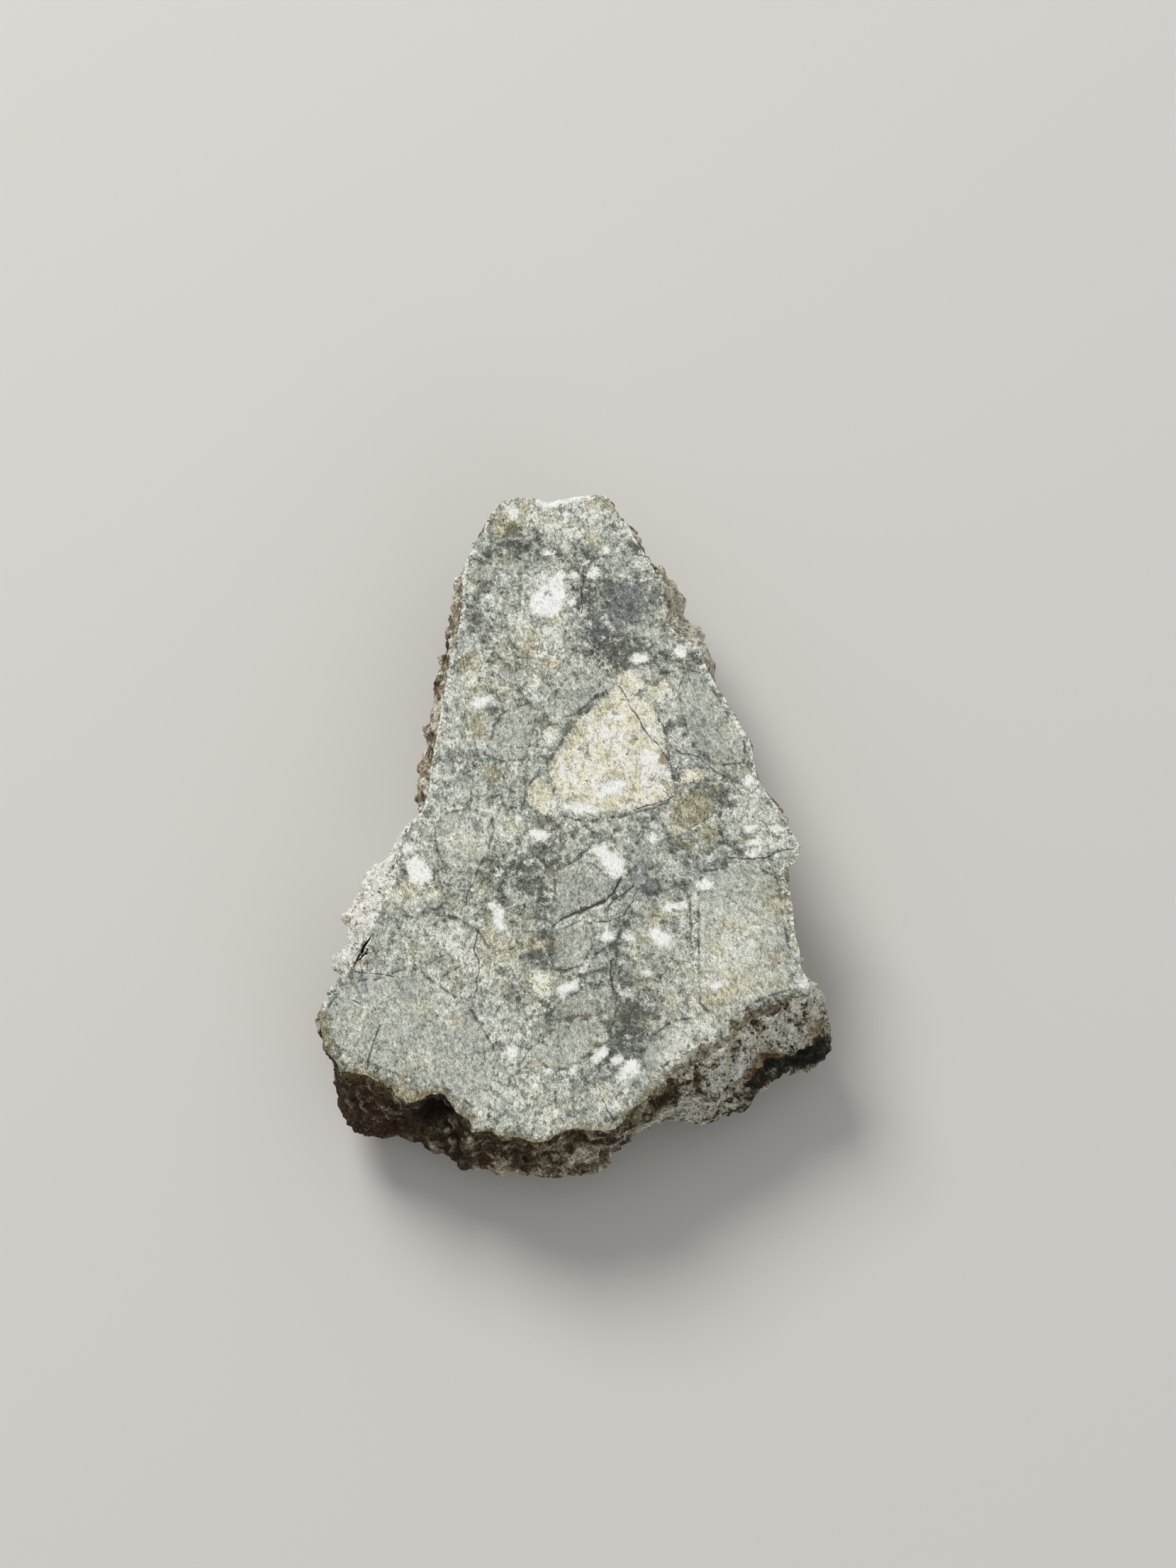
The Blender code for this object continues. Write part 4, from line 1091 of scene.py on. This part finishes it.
def sawn_material(colours, sizes, ragged, grain):
    """The sawn face: grey breccia with pale, cream and olive clasts, cracks and a chipped rim."""
    material, shader = new_material("sawn breccia")
    tree = RockTree(material.node_tree, ragged)
    place = tree.place

    def along(turn):
        """The place seen along a grain that runs this many degrees from the Y axis."""
        return tree.node("Mapping", {"Vector": place, "Rotation": (0.0, 0.0, math.radians(turn)),
                                     "Scale": (0.85, 1.35, 1.0)}, vector_type="TEXTURE").outputs[0]

    upright = tree.group(grain, place=along(8), size=sizes.grain / MM)
    slanting = tree.group(grain, place=along(38), size=sizes.grain / MM)
    slant = tree.carried("slant")
    crisp = {name: tree.node("Mix", {"Factor": slant, "A": upright[name], "B": slanting[name]}).outputs[0]
             for name in ("Pale", "Dark", "Height")}
    fine = tree.group(grain, place=along(15), size=sizes.fine_grain / MM)

    shard_size = 0.75
    even = tree.masked("even", 0.05, 0.05)
    uneven = tree.total((even, -0.75), (1.0, 1.0))
    broad = tree.noise(place, 1.5, detail=2.0, roughness=0.6)
    patchy = tree.noise(place, 0.42, detail=2.0, roughness=0.65, distortion=0.5)
    swirl = tree.node("TexNoise", {"Vector": place, "Scale": 1.6, "Detail": 3.0, "Roughness": 0.6})
    bent = tree.moved(place, swirl.outputs["Color"])
    shard = tree.chances(tree.cells(bent, shard_size))
    small_shard = tree.chances(tree.cells(bent, 0.34))
    clots = tree.noise(place, 0.17, detail=2.0, roughness=0.7)
    mottle = tree.total((patchy, 1.8), (clots, 1.5), (shard[0], 0.38), (small_shard[0], 0.34), (1.0, -2.01))
    mottle = tree.times(mottle, uneven)
    tone = tree.total((tree.carried("tone"), 0.52), (broad, 1.1), (mottle, 0.8), (even, 0.03), (1.0, -0.02))
    rock = tree.mix(tree.step(tone, 0.0, 0.52), colours.matrix_dark, colours.matrix_mid)
    rock = tree.mix(tree.step(tone, 0.5, 1.1), rock, colours.matrix_pale)
    tint = tree.total((tree.carried("tint"), 0.8), (tree.noise(place, 0.7, detail=2.0, roughness=0.6), 2.4),
                      (shard[2], 0.5), (1.0, -1.45))
    rock = tree.mix(tree.times(tree.step(tint, 0.0, 0.9), 0.6), rock, colours.warm)
    rock = tree.mix(tree.times(tree.step(tint, -0.05, -0.95), 0.4), rock, colours.cool)

    # Small chips of pale and dark rock, strewn through the ground mass
    for size, layer, share, chip_colour, strength in (
        (0.55, 0.0, 0.8, colours.pale_fleck, 0.5),
        (0.3, 5.0, 0.8, colours.pale_fleck, 0.4),
        (0.42, 9.0, 0.72, colours.dark_fleck, 0.4),
    ):
        chips = tree.cells(tree.moved(bent, (layer, layer, 0.0)), size)
        chosen = tree.step(tree.chances(chips)[1], share, share + 0.04)
        reach = tree.total((chips["Distance"], -size), (1.0, 0.3 * size))
        mask = tree.times(tree.times(tree.frayed(reach, 0.04, 0.04), chosen), uneven)
        rock = tree.mix(tree.times(mask, strength), rock, chip_colour)
    for size, layer, strength, thread_colour in (
        (0.5, 3.0, 0.5, colours.pale_fleck),
        (0.6, 8.0, 0.45, colours.dark_fleck),
    ):
        threads = tree.filaments(size, layer)
        rock = tree.mix(tree.times(threads, tree.times(uneven, strength)), rock, thread_colour)

    # Dark seams between the shards, around the even clasts and where the clasts meet
    shards = {"Vector": bent, "Scale": 1 / shard_size}
    from_edge = tree.node("TexVoronoi", shards, feature="DISTANCE_TO_EDGE").outputs["Distance"]
    joint = tree.times(tree.step(from_edge, 0.055, 0.0), uneven)
    joint = tree.times(joint, tree.step(patchy, 0.58, 0.44))
    rock = tree.mix(tree.times(joint, 0.6), rock, colours.matrix_dark)
    border = tree.step(tree.maths("ABSOLUTE", tree.carried("even")), 0.08, 0.0)
    rock = tree.mix(tree.times(border, tree.step(patchy, 0.62, 0.4)), rock, colours.matrix_dark)
    seam = tree.total((tree.carried("seam"), -0.55), (patchy, 2.2), (clots, 1.4), (1.0, -1.05))
    rock = tree.mix(tree.times(tree.step(seam, 0.1, 0.6), 0.95), rock, colours.matrix_dark)

    # The clasts lie over the ground mass, the cream and white ones with a darker border
    olive = tree.masked("olive", 0.08, 0.06)
    rock = tree.mix(tree.times(olive, 0.75), rock, colours.olive)

    rim = tree.masked("cream", 0.05, 0.08, grow=0.1)
    rock = tree.mix(tree.times(rim, 0.35), rock, colours.matrix_dark)
    cream = tree.masked("cream", 0.065, 0.03)
    cream_tone = tree.step(tree.noise(place, 0.6, detail=3.0, roughness=0.6), 0.42, 0.62)
    cream_rock = tree.mix(tree.times(cream_tone, 0.75), colours.cream, colours.white)
    dull = tree.step(tree.noise(place, 0.75, detail=3.0, roughness=0.6), 0.5, 0.64)
    dull_rock = tree.mix(tree.step(patchy, 0.4, 0.56), colours.matrix_mid, colours.warm)
    cream_rock = tree.mix(tree.times(dull, 0.65), cream_rock, dull_rock)
    margin = tree.total((tree.carried("cream"), -1.0), (patchy, 0.5), (1.0, 0.05))
    cream_rock = tree.mix(tree.times(tree.step(margin, 0.0, 0.3), 0.45), cream_rock, colours.matrix_mid)
    stained = tree.step(tree.noise(place, 0.14, detail=2.0, roughness=0.7), 0.63, 0.7)
    cream_rock = tree.mix(tree.times(stained, 0.8), cream_rock, colours.brown)
    rock = tree.mix(tree.times(cream, 0.95), rock, cream_rock)

    halo = tree.masked("white", 0.07, 0.06, grow=0.04)
    halo = tree.times(halo, tree.times(tree.step(clots, 0.5, 0.62), 0.55))
    rock = tree.mix(halo, rock, colours.matrix_dark)
    white = tree.masked("white", 0.06, 0.085, grow=0.015)
    core = tree.total((tree.carried("white"), 1.0), (patchy, 0.5), (clots, 0.3), (1.0, -0.4))
    white_rock = tree.mix(tree.step(core, -0.07, 0.13), colours.matrix_pale, colours.white)
    rock = tree.mix(tree.times(white, 0.95), rock, white_rock)

    # At the front there is no white edge, and the two rocks run together
    fuzz = tree.total((tree.carried("edge"), -1.0), (tree.carried("wear_and_highlight"), -0.25), (patchy, 0.9),
                      (clots, 0.6), (1.0, -0.54))
    fuzzy = tree.frayed(fuzz, 0.06, 0.1)
    rock = tree.mix(tree.times(fuzzy, 0.7), rock, colours.fringe)
    soft = tree.carried("soft")
    fading = tree.total((tree.carried("edge"), -1.0), (soft, 0.3), (clots, 2.6), (patchy, 1.6), (1.0, -2.3))
    faint = tree.frayed(fading, 0.1, 0.12)
    rock = tree.mix(tree.times(faint, tree.times(soft, 0.7)), rock, colours.broken_dark)

    # The grain lightens and darkens the rock's own colour
    bold = tree.total((even, -0.2), (1.0, 1.0))
    bold = tree.total((white, -0.5), (cream, -0.3), (bold, 1.0))
    light = tree.times(tree.total((crisp["Pale"], 0.75), (crisp["Dark"], -0.6)), bold)
    light = tree.total((light, 1.0), (fine["Pale"], 0.68), (fine["Dark"], -0.56), (white, 0.14), (1.0, 1.0))
    rock = tree.scaled(rock, light)
    rock = tree.mix(tree.times(crisp["Pale"], 0.2), rock, colours.pale_fleck)
    rock = tree.mix(tree.times(crisp["Dark"], tree.times(cream, 0.25)), rock, colours.brown)

    # Dark spots, the vein, the cracks and the white edge come last, over the grain
    spot = tree.masked("spot", 0.06, 0.035, grow=0.015)
    rock = tree.mix(tree.times(spot, 0.62), rock, tree.mix(cream, colours.dark_fleck, colours.brown))
    vein = tree.step(tree.carried("vein"), 0.04, 0.01)
    rock = tree.mix(tree.times(vein, 0.6), rock, colours.vein)
    crack = tree.carried("crack")
    line_width = tree.total((tree.noise(place, 0.25, detail=2.0, roughness=0.7), 4.5), (1.0, -1.2))
    line = tree.step(tree.maths("DIVIDE", crack, tree.maths("MAXIMUM", line_width, 0.05)), 1.5, 0.6)
    rock = tree.mix(tree.times(line, 0.8), rock, colours.crack)

    # The open slits are coloured black: painted shade deep in the gaps
    slit = tree.step(tree.carried("slit"), 1.3, 0.75)
    rock = tree.mix(slit, rock, colours.black)
    chipped = tree.times(tree.step(tree.carried("slit"), 3.2, 1.5), tree.step(patchy, 0.4, 0.55))
    rock = tree.mix(tree.times(chipped, tree.total((slit, -0.8), (1.0, 0.8))), rock, colours.white)
    # The white rim is partly worn crumbs and partly a painted highlight where its wall catches the light
    wear_and_highlight = tree.total((tree.carried("edge"), -1.0), (tree.carried("wear_and_highlight"), 0.14), (patchy, 0.5), (1.0, -0.34))
    rock = tree.worn_and_highlit(rock, wear_and_highlight, 0.8, colours.white)

    tree.feed(shader.inputs["Base Color"], rock)
    dull_grain = tree.total((crisp["Pale"], -0.14), (crisp["Dark"], 0.1), (1.0, 0.76))
    tree.feed(shader.inputs["Roughness"], dull_grain)
    shader.inputs["Specular IOR Level"].default_value = 0.32
    height = tree.total((crisp["Height"], 0.5), (fine["Height"], 0.25), (patchy, 1.0), (line, -0.5))
    bump = tree.node("Bump", {"Strength": 0.6, "Distance": 0.02 * MM, "Height": height})
    tree.feed(shader.inputs["Normal"], bump.outputs["Normal"])
    return material


def broken_material(colours, sizes, ragged, grain):
    """The broken skin: dark and crumbly, with bare grey places, pale dust, rust, painted glints, and black
    hollows of crust and painted shade.
    """
    material, shader = new_material("broken breccia")
    tree = RockTree(material.node_tree, ragged)
    place = tree.place
    crisp = tree.group(grain, place=place, size=1.1 * sizes.grain / MM)
    fine = tree.group(grain, place=place, size=1.1 * sizes.fine_grain / MM)
    raised = tree.carried("raised")
    front = tree.carried("front")
    broad = tree.noise(place, 0.9, detail=3.0, roughness=0.7)
    patchy = tree.noise(place, 0.34, detail=3.0, roughness=0.8)
    clots = tree.noise(place, 0.13, detail=2.0, roughness=0.7)
    blotch = tree.noise(place, 0.6, detail=3.0, roughness=0.65)
    bare = tree.carried("bare")
    soft = tree.carried("soft")
    # The skin is darker in its hollows and lighter on its ridges, a painted shade and painted light; facing
    # the front it is darker, partly painted shade
    level = tree.total((bare, 0.8), (raised, 0.7), (broad, 1.0), (patchy, 2.6), (clots, 1.6), (blotch, 3.8),
                       (front, -0.25), (1.0, -3.8))
    mottled = tree.total((patchy, 3.0), (blotch, 3.2), (clots, 0.6), (1.0, -3.12))
    level = tree.total((tree.times(mottled, soft), 1.0), (level, 1.0))
    rock = tree.mix(tree.step(level, 0.0, 0.6), colours.broken_dark, colours.broken_grey)
    rock = tree.mix(tree.step(level, 0.45, 1.3), rock, colours.broken_pale)
    tinted = tree.mix(tree.step(level, 0.0, 0.9), colours.dark_fleck, colours.matrix_pale)
    rock = tree.mix(tree.total((bare, 0.4), (soft, 0.3)), rock, tinted)

    # Pale dust, darker in the hollows (partly painted shade), with the clasts showing through
    dust = tree.total((tree.carried("dust"), 1.2), (broad, 1.2), (patchy, 0.8), (raised, 0.2), (1.0, -1.5))
    hollow = tree.total((tree.carried("mound"), -0.4), (patchy, -2.2), (blotch, -1.8),
                        (tree.carried("dust"), -1.0), (1.0, 3.24))
    dusty = tree.mix(tree.step(hollow, 0.05, 0.8), colours.dust, colours.dark_dust_and_shade)
    covered = tree.step(dust, 0.0, 0.45)
    rock = tree.mix(covered, rock, dusty)

    for name, family in (("white", colours.white), ("cream", colours.cream), ("olive", colours.olive)):
        rock = tree.mix(tree.times(tree.masked(name, 0.06, 0.05), 0.75), rock, family)

    # Stains and painted light spread from their places; the sawn rock's grey strays a little way down at the
    # front
    rusty = tree.mix(tree.step(clots, 0.42, 0.6), colours.rust, colours.fringe)
    rusty = tree.mix(tree.step(patchy, 0.52, 0.66), rusty, colours.broken_dark)
    # Of these, the white glint is a painted highlight, and the black is partly painted shade and partly a
    # dark crust
    for name, stain, strength, low in (
        ("glint", colours.white, 0.9, 0.25),
        ("fringe", colours.fringe, 0.8, 0.15),
        ("rust", rusty, 0.7, 0.1),
        ("black", colours.black, 0.93, 0.1),
    ):
        spread = tree.total((tree.carried(name), 1.0), (patchy, 2.6), (clots, 1.6), (crisp["Height"], 0.4),
                            (1.0, -2.1))
        rock = tree.mix(tree.times(tree.step(spread, low, low + 0.7), strength), rock, stain)
    without_wear_and_highlight = tree.total((tree.carried("wear_and_highlight"), -1.0), (1.0, 1.0))
    running = tree.total((tree.carried("deep"), -1.0), (clots, 1.6), (patchy, 1.2), (1.0, -1.45))
    strayed = tree.frayed(running, 0.1, 0.08)
    rock = tree.mix(tree.times(strayed, tree.times(without_wear_and_highlight, 0.7)), rock, colours.matrix_mid)
    # The grain lightens and darkens the skin, and the dust is lit a little more: a painted highlight
    light = tree.total((crisp["Pale"], 0.9), (crisp["Dark"], -0.6), (fine["Pale"], 0.7),
                       (fine["Dark"], -0.55), (covered, 0.22), (1.0, 1.0))
    rock = tree.scaled(rock, light)
    # The top of the skin whitens like the sawn rim: worn crumbs and a painted highlight
    wear_and_highlight = tree.total((tree.carried("deep"), -1.4), (tree.carried("wear_and_highlight"), 0.16), (patchy, 0.5), (1.0, -0.34))
    rock = tree.worn_and_highlit(rock, wear_and_highlight, 0.7, colours.white)

    tree.feed(shader.inputs["Base Color"], rock)
    tree.feed(shader.inputs["Roughness"], tree.total((crisp["Pale"], -0.25), (patchy, 0.1), (1.0, 0.8)))
    shader.inputs["Specular IOR Level"].default_value = 0.18
    height = tree.total((crisp["Height"], 0.5), (fine["Height"], 0.25), (patchy, 1.6))
    bump = tree.node("Bump", {"Strength": 0.8, "Distance": 0.04 * MM, "Height": height})
    tree.feed(shader.inputs["Normal"], bump.outputs["Normal"])
    return material


class METEORITE_OT_stone(bpy.types.Operator):
    """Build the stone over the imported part, with its materials"""

    bl_idname = "meteorite.stone"
    bl_label = "Stone"
    bl_options = {"REGISTER", "UNDO"}

    def execute(self, context):
        sizes, colours = context.scene.meteorite_sizes, context.scene.meteorite_colours
        stone = bpy.data.objects.new("meteorite_stone", stone_mesh(sizes))
        context.scene.collection.objects.link(stone)
        ragged, grain = ragged_edge_group(), rock_grain_group()
        stone.data.materials.append(broken_material(colours, sizes, ragged, grain))
        stone.data.materials.append(sawn_material(colours, sizes, ragged, grain))
        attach(stone, BODY)
        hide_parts(NODE)
        return {"FINISHED"}


def soft_light(name, power, size, location, target):
    data = bpy.data.lights.new(name, "AREA")
    data.shape = "DISK"
    data.energy = power
    data.size = size
    lamp = bpy.data.objects.new(name, data)
    lamp.location = location
    lamp.rotation_euler = (target - Vector(location)).to_track_quat("-Z", "Y").to_euler()
    bpy.context.scene.collection.objects.link(lamp)


class METEORITE_OT_stage(bpy.types.Operator):
    """Set the floor, the soft light and the camera"""

    bl_idname = "meteorite.stage"
    bl_label = "Stage"
    bl_options = {"REGISTER", "UNDO"}

    def execute(self, context):
        scene, stage = context.scene, context.scene.meteorite_stage
        self.floor(scene, stage)
        middle = Vector((0.0, 0.0, CAD_HIGH.z))
        soft_light("key light", stage.key, *KEY_LIGHT, middle)
        soft_light("fill light", stage.fill, *FILL_LIGHT, middle)
        world = bpy.data.worlds.new("even light")
        world.use_nodes = True
        background = world.node_tree.nodes["Background"]
        background.inputs["Color"].default_value = (1.0, 1.0, 1.0, 1.0)
        background.inputs["Strength"].default_value = stage.sky
        scene.world = world
        scene.view_settings.view_transform = "Standard"
        self.camera(scene, stage)
        return {"FINISHED"}

    def floor(self, scene, stage):
        half = stage.floor_size / 2
        data = bpy.data.meshes.new("floor")
        corners = [(-half, -half, 0), (half, -half, 0), (half, half, 0), (-half, half, 0)]
        data.from_pydata(corners, [], [(0, 1, 2, 3)])
        material, shader = new_material("pale floor")
        shader.inputs["Base Color"].default_value = stage.floor
        shader.inputs["Roughness"].default_value = 0.9
        shader.inputs["Specular IOR Level"].default_value = 0.2
        data.materials.append(material)
        floor = bpy.data.objects.new("floor", data)
        scene.collection.objects.link(floor)

    def camera(self, scene, stage):
        low = packed_face_low() * MM
        aim = Vector((low[0] - DRAWING_LOW[0] * MM, low[1] - DRAWING_LOW[1] * MM, CAD_HIGH.z))
        away = Vector((0.0, -math.cos(stage.elevation), math.sin(stage.elevation))) * stage.distance
        data = bpy.data.cameras.new("camera")
        data.lens = stage.lens
        data.sensor_width = 36.0
        data.clip_start = 0.01
        camera = bpy.data.objects.new("camera", data)
        camera.location = aim + away
        camera.rotation_euler = (-away).to_track_quat("-Z", "Y").to_euler()
        scene.collection.objects.link(camera)
        scene.camera = camera


class METEORITE_PT_panel(bpy.types.Panel):
    """The stone's steps and settings"""

    bl_label = "Meteorite"
    bl_idname = "METEORITE_PT_panel"
    bl_space_type = "VIEW_3D"
    bl_region_type = "UI"
    bl_category = "Meteorite"

    def draw(self, context):
        for step in STEPS:
            self.layout.operator(step)
        for settings in (context.scene.meteorite_sizes, context.scene.meteorite_colours,
                         context.scene.meteorite_stage):
            box = self.layout.box()
            for name in settings.__annotations__:
                box.prop(settings, name)


STEPS = ("meteorite.stone", "meteorite.stage")
CLASSES = (MeteoriteSizes, MeteoriteColours, MeteoriteStage, METEORITE_OT_stone, METEORITE_OT_stage,
           METEORITE_PT_panel)


def register():
    for entry in CLASSES:
        bpy.utils.register_class(entry)
    bpy.types.Scene.meteorite_sizes = PointerProperty(type=MeteoriteSizes)
    bpy.types.Scene.meteorite_colours = PointerProperty(type=MeteoriteColours)
    bpy.types.Scene.meteorite_stage = PointerProperty(type=MeteoriteStage)


def unregister():
    del bpy.types.Scene.meteorite_stage
    del bpy.types.Scene.meteorite_colours
    del bpy.types.Scene.meteorite_sizes
    for entry in reversed(CLASSES):
        bpy.utils.unregister_class(entry)


def main():
    register()
    bpy.ops.meteorite.stone()
    bpy.ops.meteorite.stage()


if __name__ == "__main__":
    main()
